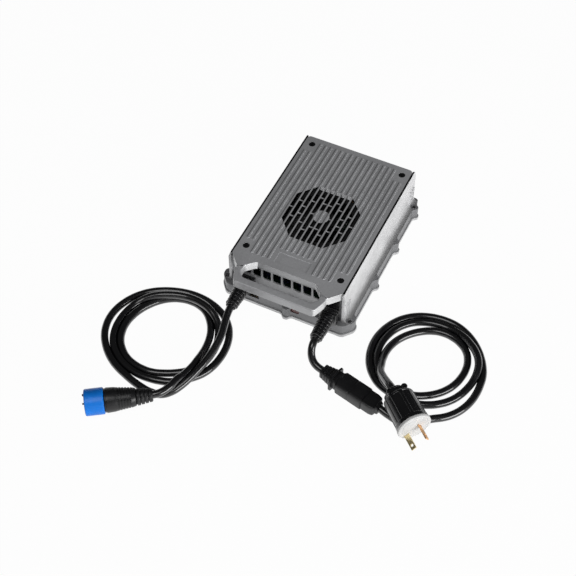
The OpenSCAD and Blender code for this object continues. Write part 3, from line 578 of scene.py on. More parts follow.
@dataclass(frozen=True)
class MouldedBlack:
    """Black moulded plastic or rubber: a fine sparked skin, faint flow marks and slightly worn edges, which
    on the bushing are a strong painted highlight.
    """

    colour: Colour
    roughness: float = 0.5
    grain: float = 0.03
    coat: float = 0.0
    rub_and_glint: float = 0.35
    rubbed: Colour = (0.018, 0.018, 0.019)

    def make(self, name: str) -> Material:
        """Builds the material under a name."""
        r = Recipe(name)
        spark = r.cells(0.5)
        flow = r.noise(14.0, 2.0, r.where((1.0, 1.0, 0.5)))
        fine = r.noise(0.7, 3.0)
        dust = r.noise(5.0, 5.0, None, 0.7).between(0.55, 0.8)
        base = r.mix(flow.between(0.35, 0.75), self.colour, shade(self.colour, 1.25))
        base = r.mix(dust * 0.25, base, shade(self.colour, 1.9, 0.003))
        edge = r.edges(0.4)
        # Edges go paler: slight wear, and on the bushing a painted highlight.
        base = r.mix(edge * self.rub_and_glint, base, self.rubbed)
        rough = self.roughness + (flow - 0.5) * 0.12 + dust * 0.1 - edge * 0.05
        return r.finish(
            Base_Color=base, Roughness=rough.clamped(), Coat_Weight=self.coat, Coat_Roughness=0.18,
            Normal=r.bump(spark * 0.5 + fine * 0.5, self.grain, 0.6),
        )


@dataclass(frozen=True)
class CordJacket:
    """The glossy black jacket of a cord, with a slow waviness from its wires and a faint bloom."""

    colour: Colour = (0.002, 0.002, 0.003)
    roughness: float = 0.34
    coat: float = 1.0

    def make(self, name: str) -> Material:
        """Builds the material under a name."""
        r = Recipe(name)
        wave = r.noise(9.0, 2.0)
        skin = r.noise(0.8, 2.0)
        bloom = r.noise(24.0, 4.0, None, 0.65).between(0.5, 0.78)
        base = r.mix(bloom * 0.5, self.colour, shade(self.colour, 2.2, 0.002))
        rough = self.roughness + bloom * 0.08 + (skin - 0.5) * 0.06
        return r.finish(
            Base_Color=base, Roughness=rough.clamped(), Specular_IOR_Level=0.4, Coat_Weight=self.coat,
            Coat_Roughness=0.1, Normal=r.bump(skin, 0.002, 0.4, r.bump(wave, 0.03, 0.4)),
        )


@dataclass(frozen=True)
class ColouredPlastic:
    """Coloured moulded plastic with a fine skin, faint flow and pale rubbed edges."""

    colour: Colour
    edge: Colour
    roughness: float = 0.4
    grain: float = 0.015
    transmission: float = 0.0

    def make(self, name: str) -> Material:
        """Builds the material under a name."""
        r = Recipe(name)
        flow = r.noise(11.0, 3.0)
        fine = r.noise(0.6, 3.0)
        base = r.mix(flow.between(0.3, 0.75), shade(self.colour, 0.86), self.colour)
        rim = r.edges(0.45)
        base = r.mix(rim * 0.45, base, self.edge)
        rough = self.roughness + (flow - 0.5) * 0.14
        return r.finish(
            Base_Color=base, Roughness=rough.clamped(), Transmission_Weight=self.transmission,
            Normal=r.bump(fine, self.grain, 0.5),
        )


@dataclass(frozen=True)
class PlatedMetal:
    """Small parts of bare brass, steel or copper, with rubbing marks and a little tarnish."""

    colour: Colour
    tarnish: Colour
    roughness: float = 0.3
    scratches: float = 0.3

    def make(self, name: str) -> Material:
        """Builds the material under a name."""
        r = Recipe(name)
        blotch = r.noise(4.0, 4.0, None, 0.65)
        marks = r.noise(0.35, 3.0, r.where((1.0, 0.08, 1.0), 38.0), 0.7)
        base = r.mix(blotch.between(0.45, 0.75) * 0.7, self.colour, self.tarnish)
        rough = self.roughness + (blotch - 0.45) * 0.3 + marks * 0.08
        return r.finish(
            Base_Color=base, Metallic=1.0, Roughness=rough.clamped(),
            Normal=r.bump(marks, 0.01, self.scratches),
        )


@dataclass(frozen=True)
class WoundWire:
    """Enamelled copper wire wound side by side, drawn as fine ribs across one axis."""

    colour: Colour
    pitch: float = 0.9

    def make(self, name: str) -> Material:
        """Builds the material under a name."""
        r = Recipe(name)
        bands = {"Vector": r.where(), "Scale": 31.4 / self.pitch, "Distortion": 0.6, "Detail": 1.0}
        turns = r.node("ShaderNodeTexWave", {"bands_direction": "Y"}, bands, output=1)
        base = r.mix(turns.between(0.1, 0.7), shade(self.colour, 0.35), self.colour)
        return r.finish(Base_Color=base, Metallic=0.8, Roughness=0.3, Normal=r.bump(turns, 0.25, 0.8))


@dataclass(frozen=True)
class CircuitBoard:
    """A lacquered board with tinned pads and faint copper runs under the mask."""

    colour: Colour

    def make(self, name: str) -> Material:
        """Builds the material under a name."""
        r = Recipe(name)
        shades = {"Color1": (0.0, 0.0, 0.0), "Color2": (0.25, 0.25, 0.25), "Mortar": (1.0, 1.0, 1.0)}
        bricks = {"Vector": r.where((1.0, 1.0, 1.0), 90.0), "Scale": 160.0, "Mortar Size": 0.06}
        runs = r.node("ShaderNodeTexBrick", {"offset": 0.37}, {**bricks, **shades}, output=1)
        dots = 1.0 - r.cells(4.5).between(0.16, 0.22)
        base = r.mix(runs * 0.5, self.colour, shade(self.colour, 1.8, 0.01))
        base = r.mix(dots, base, (0.6, 0.6, 0.58))
        return r.finish(
            Base_Color=base, Metallic=dots * 0.9, Roughness=0.34, Normal=r.bump(runs + dots, 0.03, 0.6)
        )


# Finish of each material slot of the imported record, and of faces that differ from the rest of their piece.
FINISHES = {
    "lid_metal": CastMetal((0.66, 0.665, 0.685), lines=0.15, bare=(0.95, 0.95, 0.96), ribs=RibLines()),
    # A darker copy of the lid metal: painted shade on the handle's faces towards the cords and on the
    # grille's slopes.
    "lid_front_painted_shade": CastMetal((0.44, 0.444, 0.455), bare=(0.7, 0.7, 0.71)),
    # The side panels' dark band low down is painted shade.
    "panel_metal": CastMetal(
        (0.82, 0.82, 0.83), roughness=0.44, metallic=0.35, lines=0.2, grain=0.005, wear=0.4,
        wear_width=0.5, bare=(0.86, 0.86, 0.87), painted_shade_below=(17.0, 29.5), mottle=0.1
    ),
    # The end walls' dark colour is partly painted shade, standing for the shade under the lid's handle.
    "front_metal": CastMetal((0.36, 0.363, 0.372), roughness=0.44, wear=0.6, bare=(0.6, 0.6, 0.61)),
    "cast_metal": CastMetal(
        (0.24, 0.242, 0.25), roughness=0.45, lines=0.0, grain=0.06, wear=0.6, wear_width=0.8
    ),
    "plate_metal": CastMetal(
        (0.6, 0.6, 0.61), roughness=0.38, metallic=0.5, lines=0.0, grain=0.04, wear_width=0.6,
        bare=(0.8, 0.8, 0.81)
    ),
    "sink_metal": CastMetal((0.6, 0.6, 0.61), roughness=0.4, metallic=0.9, lines=0.4, wear=0.4),
    "gasket_rubber": MouldedBlack((0.004, 0.004, 0.004), roughness=0.62),
    "black_steel": MouldedBlack((0.005, 0.005, 0.006), roughness=0.36, grain=0.015, coat=0.1, rub_and_glint=0.4),
    "gland_black": MouldedBlack((0.003, 0.003, 0.004), roughness=0.26, grain=0.004, coat=0.8, rub_and_glint=0.3),
    "moulded_black": MouldedBlack((0.005, 0.005, 0.006), roughness=0.4, grain=0.025, coat=0.1, rub_and_glint=0.4),
    "plug_black": MouldedBlack((0.004, 0.004, 0.005), roughness=0.26, grain=0.01, coat=0.4, rub_and_glint=0.4),
    "insert_black": MouldedBlack((0.006, 0.006, 0.006)),
    # Painted shade: the grille slots' walls made near black.
    "slot_painted_shade": MouldedBlack((0.01, 0.01, 0.011), roughness=0.6),
    "port_black": MouldedBlack((0.014, 0.014, 0.014), roughness=0.45, grain=0.02),
    "fan_plastic": MouldedBlack((0.013, 0.013, 0.014)),
    "rotor_plastic": MouldedBlack((0.02, 0.02, 0.021), roughness=0.46),
    "black_resin": MouldedBlack((0.02, 0.02, 0.021), grain=0.04),
    "ferrite": MouldedBlack((0.045, 0.045, 0.05), roughness=0.6, grain=0.06),
    "cord_black": CordJacket(),
    "plug_white": ColouredPlastic((0.76, 0.76, 0.755), edge=(0.86, 0.86, 0.85), roughness=0.42),
    "ring_blue": ColouredPlastic((0.0, 0.25, 0.98), edge=(0.03, 0.42, 1.0)),
    "indicator_red": ColouredPlastic(
        (0.16, 0.01, 0.006), edge=(0.4, 0.04, 0.025), roughness=0.16, grain=0.01, transmission=0.15
    ),
    "capacitor_sleeve": ColouredPlastic((0.015, 0.02, 0.07), edge=(0.05, 0.06, 0.14), roughness=0.3),
    "relay_blue": ColouredPlastic((0.02, 0.07, 0.3), edge=(0.08, 0.16, 0.45), roughness=0.36),
    # Darkened: painted shade inside the case.
    "terminal_green": ColouredPlastic((0.005, 0.025, 0.013), edge=(0.02, 0.06, 0.035)),
    "fuse_ceramic": ColouredPlastic((0.7, 0.69, 0.65), edge=(0.82, 0.8, 0.76), roughness=0.45),
    "choke_green": ColouredPlastic((0.04, 0.16, 0.06), edge=(0.1, 0.28, 0.14)),
    # A brighter copy of the lid metal: painted light on the handle's slanting sides.
    "lid_slant_painted_light": CastMetal(
        (0.9, 0.905, 0.915), roughness=0.36, metallic=0.35, grain=0.02, wear=0.4, bare=(0.92, 0.92, 0.93)
    ),
    # The bushing's pale edges are a painted highlight.
    "bushing_painted_highlight": MouldedBlack(
        (0.004, 0.004, 0.005), roughness=0.24, grain=0.01, coat=0.8, rub_and_glint=1.0, rubbed=(0.3, 0.3, 0.31)
    ),
    "plain_steel": PlatedMetal((0.62, 0.62, 0.61), tarnish=(0.42, 0.41, 0.38)),
    "brass_fittings": PlatedMetal((0.78, 0.58, 0.25), tarnish=(0.5, 0.34, 0.13), roughness=0.28),
    "gold_contacts": PlatedMetal((0.93, 0.72, 0.32), tarnish=(0.7, 0.5, 0.2), roughness=0.22),
    "blade_brass": PlatedMetal((0.95, 0.8, 0.45), tarnish=(0.85, 0.66, 0.32), scratches=0.2),
    "blade_copper": PlatedMetal(
        (0.92, 0.56, 0.28), tarnish=(0.76, 0.4, 0.17), roughness=0.36, scratches=0.15
    ),
    "copper_winding": WoundWire((0.72, 0.34, 0.13)),
    # Darkened so that it reads black through the front windows: painted shade inside the case.
    "board_green": CircuitBoard((0.004, 0.018, 0.01)),
}


class Palette:
    """Makes each finish once and hands it out by its slot."""

    def __init__(self) -> None:
        """Starts with nothing made."""
        self.made: dict[str, Material] = {}

    def get(self, slot: str) -> Material:
        """The material of a slot."""
        if slot not in self.made:
            self.made[slot] = FINISHES[slot].make(slot)
        return self.made[slot]

    def dress_cad(self) -> None:
        """Gives every CAD node that still shows the finish of its own slots."""
        for node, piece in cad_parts.items():
            if piece.hide_render:
                continue
            for holder in piece.material_slots:
                name = holder.material.name.split(".")[0] if holder.material else ""
                if name in FINISHES:
                    holder.material = self.get(name)
                else:
                    log.warning("%s has the unknown slot %r", node, name)
            log.info("%s: CAD node in %s", node, [h.material.name for h in piece.material_slots])


@dataclass
class Cord:
    """One free cord, a round jacket along its route."""

    name: str
    route: Sequence[Point]
    nodes: tuple[str, ...]
    far_end: str
    lay: str
    diameter: float = CORD_D
    steps: int = 5
    roundness: int = 7

    def length(self) -> float:
        """Length of the route's line in metres."""
        return sum((Vector(b) - Vector(a)).length for a, b in zip(self.route, self.route[1:])) * MM

    def build(self, palette: Palette) -> Piece:
        """Draws the cord as a curve with one open spline that passes through the route's points."""
        line = bpy.data.curves.new(self.name, "CURVE")
        line.dimensions = "3D"
        line.resolution_u = line.render_resolution_u = self.steps
        line.bevel_depth = self.diameter / 2 * MM
        line.bevel_resolution = self.roundness
        line.use_fill_caps = True
        spline = line.splines.new("BEZIER")
        spline.bezier_points.add(len(self.route) - 1)
        for knot, place in zip(spline.bezier_points, self.route):
            knot.co = Vector(place) * MM
            knot.handle_left_type = knot.handle_right_type = "AUTO"
        piece = bpy.data.objects.new(self.name, line)
        bpy.context.scene.collection.objects.link(piece)
        line.materials.append(palette.get("cord_black"))
        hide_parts(*self.nodes)
        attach(piece, Body.CHARGER.value)
        log.info("%s: %.2f m of cord", self.name, self.length())
        return piece

    def declare(self) -> None:
        """Works out the cord's length in metres, rounded, and keeps nothing of it.
        """
        round(self.length(), 3)


@dataclass
class Assembly:
    """A sub-assembly: its pieces are shaped one by one and dressed from the shared palette."""

    palette: Palette

    def dress(
        self, piece: Piece, slot: str, look: str = "", body: Body = Body.CHARGER, angle: float = 34.0
    ) -> Piece:
        """Gives a shaped piece its finish, shades it and puts it on its body.

        Args:
            piece: the shaped piece.
            slot: the record's material slot.
            look: its finish, if that isn't the slot's own.
            body: the CAD body that it rides on.
            angle: faces that meet at less than this many degrees are shaded smooth.

        Returns:
            The piece.
        """
        Bench.apply(piece)
        bpy.ops.object.shade_smooth_by_angle(angle=math.radians(angle))
        Bench.modify(piece, "WEIGHTED_NORMAL", keep_sharp=True, weight=NORMAL_WEIGHT)
        piece.data.materials.clear()
        piece.data.materials.append(self.palette.get(look or slot))
        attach(piece, body.value)
        log.info("%s: %d faces, rides on %s", piece.name, len(piece.data.polygons), body.value)
        return piece

    def edged(
        self, node: str, name: str, slot: str, width: float, segments: int = 2, look: str = ""
    ) -> Piece:
        """A CAD node with its edges rounded.

        Args:
            node: the CAD node.
            name: the piece's name.
            slot: the record's material slot.
            width: width of the rounding in millimetres.
            segments: steps across it.
            look: its finish, if that isn't the slot's own.

        Returns:
            The piece.
        """
        piece = Bench.recut(node, name)
        Bench.soften(piece, width, segments)
        return self.dress(piece, slot, look)


@dataclass
class Housing(Assembly):
    """The case: the lid with its handle, the tray, the plate under it and the two end walls."""

    lid_top: float = 70.4
    bar_bottom: float = 58.0
    bar_round: float = 1.2
    front_wall: float = -90.6
    slot_columns: int = 6
    slot_pitch: float = 7.2
    slot_width: float = 5.3
    grille_back: float = 49.5
    grille_length: float = 88.0
    grille_half: float = 43.5
    cast_edge: float = 0.9
    plate_edge: float = 0.6
    sheet_edge: float = 0.3

    def lid(self) -> Piece:
        """The lid: its handle bar well rounded, every other edge broken, painted shade on the handle's faces
        towards the cords and on the slots' walls, and painted light on its slanting sides.
        """
        piece = Bench.recut("top_cover", "lid")
        Bench.edit(piece, Pick.EDGE)

        def on_bar(a: Vector, b: Vector, bend: float) -> bool:
            """Edges along the top and the underside of the handle's bar."""
            ahead = max(a.y, b.y) < self.front_wall - 1.5
            top = min(a.z, b.z) > self.lid_top - 0.1
            low = max(a.z, b.z) < self.bar_bottom + 0.1
            return ahead and (top or low) and bend > 40

        def faces_front(mid: Vector, normal: Vector) -> bool:
            """Faces of the handle that look towards the cords."""
            return normal.y < -0.6 and mid.y < self.front_wall + 2

        def walls_slot(mid: Vector, normal: Vector) -> bool:
            """Walls of the grille's slots."""
            inside = self.grille_back - self.grille_length < mid.y < self.grille_back - 0.5
            inside = inside and abs(mid.x) < self.grille_half and mid.z < self.lid_top - 0.3
            return inside and abs(normal.z) < 0.3

        def slants(mid: Vector, normal: Vector) -> bool:
            """Slanting sides of the handle."""
            return abs(normal.z) < 0.6 and abs(normal.x) > 0.35 and mid.y < self.front_wall + 0.4

        log.info("lid: %d handle edges rounded", Bench.choose(piece, on_bar, Pick.EDGE))
        bpy.ops.mesh.bevel(offset=self.bar_round * MM, segments=3, affect="EDGES", clamp_overlap=True)
        Bench.close()
        Bench.soften(piece, 0.2, angle=38)
        self.dress(piece, "lid_metal")
        # Painted shade on the faces towards the cords and on the slots' walls; painted light on the handle's
        # slanting sides.
        for look, test in (("lid_front_painted_shade", faces_front), ("slot_painted_shade", walls_slot), ("lid_slant_painted_light", slants)):
            self.paint(piece, look, test)
        return piece

    def paint(self, piece: Piece, look: str, test: Callable[[Vector, Vector], bool]) -> None:
        """Gives the faces that a test accepts another finish.

        Args:
            piece: the dressed piece.
            look: the other finish.
            test: takes a face's middle in millimetres and its normal.
        """
        piece.data.materials.append(self.palette.get(look))
        Bench.edit(piece)
        log.info("%s: %d faces in %s", piece.name, Bench.choose(piece, test), look)
        piece.active_material_index = len(piece.data.materials) - 1
        bpy.ops.object.material_slot_assign()
        Bench.close()

    def slopes(self) -> Piece:
        """The small sloped faces at the rear ends of the grille's slots."""
        y, z = self.grille_back - 1.7, self.lid_top - 1.3

        def front_top(a: Vector, b: Vector, bend: float) -> bool:
            """The wedge's upper edge on the hub's side."""
            return max(a.y, b.y) < self.grille_back - 2 and min(a.z, b.z) > self.lid_top - 1

        wedges = []
        for i in range(self.slot_columns):
            x = (i - (self.slot_columns - 1) / 2) * self.slot_pitch
            wedge = Bench.cube((x, y, z), (self.slot_width + 0.4, 3.6, 2.4))
            Bench.edit(wedge, Pick.EDGE)
            Bench.choose(wedge, front_top, Pick.EDGE)
            bpy.ops.transform.translate(value=(0, 0, -2.1 * MM))
            Bench.close()
            Bench.soften(wedge, 0.12, angle=30)
            wedges.append(wedge)
        piece = Bench.join(*wedges)
        piece.name = piece.data.name = "grille_slopes"
        # The slopes take the lid's painted shade.
        return self.dress(piece, "lid_metal", "lid_front_painted_shade")

    def build(self) -> None:
        """Builds all of the case's outer pieces."""
        self.lid()
        self.slopes()
        self.edged("base_tray", "tray", "cast_metal", self.cast_edge)
        self.edged("bottom_plate", "foot_plate", "plate_metal", self.plate_edge)
        self.edged("front_panel", "front_wall", "front_metal", self.sheet_edge)
        self.edged("back_panel", "back_wall", "front_metal", self.sheet_edge)


@dataclass
class Gland(Assembly):
    """A cord's way out of the front wall: a grooved bushing and a ribbed boot."""

    x: float
    bushing_node: str
    boot_node: str
    name: str
    axis_z: float = 28.5
    start_y: float = -101.6
    length: float = 34.4
    ribs: int = 6
    rib_start: float = 6.2
    rib_radius: float = 9.5
    taper: float = 0.36

    def boot(self) -> Piece:
        """The boot: a plain collar, then ribs round a core that tapers towards the cord."""
        stations = [(0.0, 8.4), (0.0, 9.4), (0.6, 9.7), (4.6, 9.6), (5.2, 9.1), (5.6, 8.1)]
        step = (self.length - 7.6) / self.ribs
        rib = ((0.0, -1.6), (0.5, -0.25), (1.0, 0.0), (2.5, -0.1), (2.9, -0.5), (3.2, -1.7))
        for i in range(self.ribs):
            out = self.rib_radius - i * self.taper + (0.3 if i == self.ribs - 1 else 0.0)
            stations += stepped((self.rib_start + i * step, out), *rib)
        stations += stepped((self.length, 0.0), (-1.2, 6.6), (-0.3, 6.2), (0.0, 5.2))
        piece = Bench.turned(f"{self.name}_boot_ribbed", stations, 48)
        Lie((self.x, self.start_y, self.axis_z), (0.0, -1.0)).lay(piece)
        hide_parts(self.boot_node)
        return self.dress(piece, "gland_black", angle=48)

    def build(self) -> None:
        """Builds the bushing, with its edges rounded, and the boot."""
        name = f"{self.name}_bushing_grooved"
        # The bushing's edges carry a painted highlight.
        self.edged(self.bushing_node, name, "gland_black", 0.6, 3, "bushing_painted_highlight")
        self.boot()


@dataclass
class InlineCoupling(Assembly):
    """The mated pair on the floor: the inlet plug of the charger's lead and the mains cord's connector."""

    lie: Lie = Lie((80.0, -160.0, 10.5), (21.0, -5.0))
    relief: float = 17.0
    inlet: float = 45.0
    line: float = 20.0

    def inlet_plug(self) -> Piece:
        """The inlet plug: a slotted relief, a thin collar, a waist and a shroud with cut corners."""
        body = [(0.0, 12.6, 11.2)]
        ring = ((0.0, 0.0, 0.0), (3.1, 0.5, 0.4), (3.3, -0.9, -0.8), (4.0, -0.9, -0.8))
        for i in range(4):
            body += stepped((0.4 + i * 4.2, 15.0 + i * 1.3, 12.8 + i * 1.0), *ring)
        body += stepped(
            (self.relief, 0.0, 0.0),
            (0.0, 19.0, 15.6), (0.0, 26.0, 20.2), (0.5, 27.0, 21.0), (2.1, 27.0, 21.0), (2.6, 26.0, 20.2),
            (2.6, 19.5, 16.4), (7.6, 20.2, 16.8), (9.2, 24.0, 18.2), (10.2, 25.0, 19.0), (26.0, 25.0, 19.0),
            (26.2, 24.2, 18.2), (27.2, 24.2, 18.2), (27.4, 25.0, 19.0), (self.inlet - 0.8, 25.0, 19.0),
            (self.inlet, 24.0, 18.0),
        )
        piece = Bench.boxed("inlet_plug_shroud", body, 2.4)
        Bench.soften(piece, 0.45, angle=28)
        self.lie.lay(piece)
        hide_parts("inlet_plug")
        return self.dress(piece, "moulded_black")

    def line_connector(self) -> Piece:
        """The line connector: its head sits in the shroud, and its tail tapers towards the cord."""
        body = stepped(
            (self.relief + self.inlet, 0.0, 0.0),
            (-0.5, 21.6, 15.8), (0.0, 22.4, 16.6), (11.0, 22.4, 16.6), (15.4, 20.4, 15.4),
            (16.6, 17.6, 13.8), (16.8, 13.6, 12.2), (18.0, 13.2, 12.0), (self.line, 12.0, 11.2),
        )
        piece = Bench.boxed("line_connector_head", body, 2.8)
        Bench.soften(piece, 0.5, angle=28)
        self.lie.lay(piece)
        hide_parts("line_connector")
        return self.dress(piece, "moulded_black")

    def build(self) -> list[Piece]:
        """Builds both halves and returns them."""
        return [self.inlet_plug(), self.line_connector()]


@dataclass
class MainsPlug(Assembly):
    """The mains plug: a cord clamp, a fluted black shell, a white face and two blades at right angles."""

    lie: Lie = Lie((177.0, -173.0, 38.0), (9.0, -8.0))
    length: float = 43.0
    radius: float = 19.5
    face: float = 4.0
    clamp: float = 10.0
    flutes: int = 10
    flute_rim: float = 0.5
    flute_depth: float = 0.7
    roll: float = 38.0
    slot_wide: float = 1.7
    slot_tall: float = 8.0
    live: tuple[float, float] = (5.48, 1.11)
    neutral: tuple[float, float] = (-9.10, -10.28)

    def shell(self) -> Piece:
        """The shell: long flats pressed into its flank, a rounded shoulder and a rim at the face."""
        end = self.length - self.face
        stations = stepped((0.0, self.radius), (0.0, -4.4), (0.4, -2.4), (1.4, -1.6), (3.0, -1.2))
        stations += stepped((end, self.radius), (-5.0, -0.4), (-4.4, -0.1), (-0.6, 0.0), (0.0, -0.3))
        piece = Bench.turned("plug_shell_fluted", stations, self.flutes * 8)
        step = 360.0 / self.flutes

        def on_flat(mid: Vector, normal: Vector) -> bool:
            """Faces of the flank between two flutes."""
            flank = 4.0 < mid.z < end - 5.5 and abs(normal.z) < 0.5
            return flank and off_middle(mid, 18.0, step) < step * 0.36

        Bench.edit(piece)
        log.info("plug shell: %d faces pressed in", Bench.choose(piece, on_flat))
        bpy.ops.mesh.inset(thickness=self.flute_rim * MM, depth=-self.flute_depth * MM)
        Bench.close()
        Bench.soften(piece, 0.25, angle=20)
        self.lie.lay(piece)
        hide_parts("plug_shell")
        return self.dress(piece, "plug_black", angle=30)

    def cord_clamp(self) -> Piece:
        """The clamp: a stepped round end with two screw bosses."""
        stations = [(-self.clamp, 6.2)]
        steps = ((0.0, -10.4), (0.8, -9.5), (3.6, -9.0), (4.2, -6.2), (5.0, -5.2))
        stations += stepped((-self.clamp, self.radius), *steps)
        stations += stepped((0.0, self.radius), (-0.8, -4.8), (0.3, -5.4))
        piece = Bench.turned("plug_clamp_bosses", stations, 48)
        for side in (-1, 1):
            boss = Bench.turned("boss", [(0.0, 3.6), (5.6, 3.6), (6.4, 3.0), (6.4, 2.2), (5.4, 2.1)], 20)
            place = Matrix.Translation(Vector((side * 9.0, 6.2, 1.0 - self.clamp / 2)) * MM)
            boss.matrix_world = place @ Matrix.Rotation(-math.pi / 2, 4, "X")
            Bench.apply(boss)
            Bench.carve(piece, boss, join=True)
        Bench.soften(piece, 0.35, angle=30)
        self.lie.lay(piece)
        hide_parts("plug_clamp")
        return self.dress(piece, "plug_black")

    def white_face(self) -> Piece:
        """The white face: a disc with a rounded rim and a slot round each blade."""
        rim = self.radius + 0.7
        stations = stepped((self.length - self.face, rim), (0.0, -1.2), (0.2, -0.3), (0.8, 0.0))
        stations += stepped(
            (self.length, rim),
            (-1.2, 0.0), (-0.5, -0.4), (0.0, -1.3), (0.0, -3.4), (-0.4, -3.8), (-0.4, -4.6), (0.0, -5.0),
        )
        piece = Bench.turned("plug_face_disc", stations, 72)
        for at, wide, tall in (
            (self.live, self.slot_wide, self.slot_tall), (self.neutral, self.slot_tall, self.slot_wide)
        ):
            Bench.carve(piece, Bench.cube((*at, self.length), (wide, tall, 2.4), self.roll))
        Bench.soften(piece, 0.18, angle=40)
        self.lie.lay(piece)
        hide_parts("plug_face")
        return self.dress(piece, "plug_white")

    def build(self) -> list[Piece]:
        """Builds the plug's pieces and returns them; one blade is of a browner alloy."""
        return [
            self.cord_clamp(),
            self.shell(),
            self.white_face(),
            self.edged("plug_blade_live", "blade_live", "blade_brass", 0.28, look="blade_copper"),
            self.edged("plug_blade_neutral", "blade_neutral", "blade_brass", 0.28),
        ]


@dataclass
class ChargingConnector(Assembly):
    """The charging connector: a ribbed boot, a grooved barrel, an insert with two teeth and the blue ring."""

    lie: Lie = Lie((-79.0, -277.0, 15.5), (-12.0, -8.0))
    boot_length: float = 19.0
    barrel_length: float = 36.0
    ring_length: float = 22.0
    ring_radius: float = 15.5
    ring_wall: float = 4.45
    flats: int = 9
    flat_rim: float = 0.4
    flat_depth: float = 1.3

    def boot(self) -> Piece:
        """The boot with its four rings."""
        stations = [(0.0, 5.2), (0.0, 6.8)]
        ring = ((0.0, -0.5), (0.4, 0.0), (3.3, 0.2), (3.6, -0.4), (3.7, -1.4), (4.3, -1.3))
        for i in range(4):
            stations += stepped((0.6 + i * 4.5, 7.8 + i * 0.75), *ring)
        stations += [(self.boot_length, 9.4)]
        piece = Bench.turned("connector_boot_rings", stations, 56)
        self.lie.lay(piece)
        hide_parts("charge_plug_boot")
        return self.dress(piece, "moulded_black", angle=50)

    def barrel(self) -> Piece:
        """The barrel: five thin grooves in its rear half, then a smooth swell up to the ring."""
        start = self.boot_length
        stations = stepped((start, 0.0), (0.0, 9.6), (0.6, 10.4), (5.0, 11.5))
        groove = ((0.0, 0.0), (0.15, -0.75), (0.85, -0.75), (1.0, 0.1), (3.2, 0.25))
        for i in range(5):
            stations += stepped((start + 5.6 + i * 3.3, 11.6 + i * 0.42), *groove)
        swell = ((-12.0, 14.0), (-4.0, 14.5), (-2.6, 14.5), (-2.2, 13.9), (-1.0, 13.9), (-0.4, 13.4))
        stations += stepped((start + self.barrel_length, 0.0), *swell)
        piece = Bench.turned("connector_barrel_grooved", stations, 72)
        self.lie.lay(piece)
        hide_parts("charge_plug_barrel")
        return self.dress(piece, "moulded_black", angle=40)

    def ring(self) -> Piece:
        """The coupling ring: flats pressed in between its ribs, a plain band at the rear and a wide bore."""
        r, bore = self.ring_radius, self.ring_radius - self.ring_wall
        z0 = self.boot_length + self.barrel_length
        z1 = z0 + self.ring_length
        stations = [(z0, bore)] + stepped((z0, r), (0.0, -0.9), (0.5, -0.2), (1.0, 0.0), (3.4, 0.0))
        stations += stepped((z1, r), (-1.6, 0.0), (-0.5, -0.4), (0.0, -1.2))
        stations += stepped((z1, bore), (0.0, 0.6), (-0.6, 0.0))
        piece = Bench.turned("coupling_ring_ribbed", stations, self.flats * 8)
        step = 360.0 / self.flats

        def on_flat(mid: Vector, normal: Vector) -> bool:
            """Faces of the flank between two ribs, ahead of the plain band."""
            flank = z0 + 3.4 < mid.z < z1 - 0.2 and abs(normal.z) < 0.9
            return flank and off_middle(mid, 90.0, step) > step * 0.14

        def ends(mid: Vector, normal: Vector) -> bool:
            """The two discs that close the bore."""
            return abs(abs(normal.z) - 1) < 1e-3 and math.hypot(mid.x, mid.y) < 0.1

        Bench.edit(piece)
        Bench.choose(piece, on_flat)
        bpy.ops.mesh.inset(thickness=self.flat_rim * MM, depth=-self.flat_depth * MM)
        Bench.choose(piece, ends)
        bpy.ops.mesh.delete(type="FACE")
        bpy.ops.mesh.select_mode(type="EDGE")
        mesh = bmesh.from_edit_mesh(piece.data)
        for edge in mesh.edges:
            edge.select_set(edge.is_boundary)
        bmesh.update_edit_mesh(piece.data)
        bpy.ops.mesh.bridge_edge_loops()
        Bench.face_out()
        Bench.soften(piece, 0.22, angle=30)
        self.lie.lay(piece)
        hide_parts("coupling_ring")
        return self.dress(piece, "ring_blue", body=Body.RING)

    def build(self) -> list[Piece]:
        """Builds the connector's pieces and returns them."""
        insert = ("charge_plug_insert", "connector_insert", "insert_black", 0.2)
        return [self.boot(), self.barrel(), self.edged(*insert), self.ring()]


@dataclass(frozen=True)
class Lamp:
    """One oblong soft lamp, with its places and sizes in metres and its power in watts."""

    name: str
    at: Point
    towards: Point
    wide: float
    tall: float
    power: float

    def build(self) -> None:
        """Hangs the lamp."""
        data = bpy.data.lights.new(self.name, "AREA")
        data.shape = "RECTANGLE"
        data.size, data.size_y = self.wide, self.tall
        data.energy = self.power
        lamp = bpy.data.objects.new(self.name, data)
        lamp.location = self.at
        lamp.rotation_euler = (Vector(self.towards) - Vector(self.at)).to_track_quat("-Z", "Y").to_euler()
        bpy.context.scene.collection.objects.link(lamp)


LAMPS = (
    Lamp("key", at=(1.72, -0.75, 0.44), towards=(0.05, -0.1, 0.0), wide=1.3, tall=0.7, power=25.0),
    Lamp("top", at=(0.0, -1.0, 2.0), towards=(-0.02, -0.15, 0.0), wide=1.2, tall=1.0, power=12.0),
    Lamp("front", at=(0.35, -1.75, 0.42), towards=(0.0, -0.15, 0.0), wide=1.4, tall=0.5, power=1.6),
)


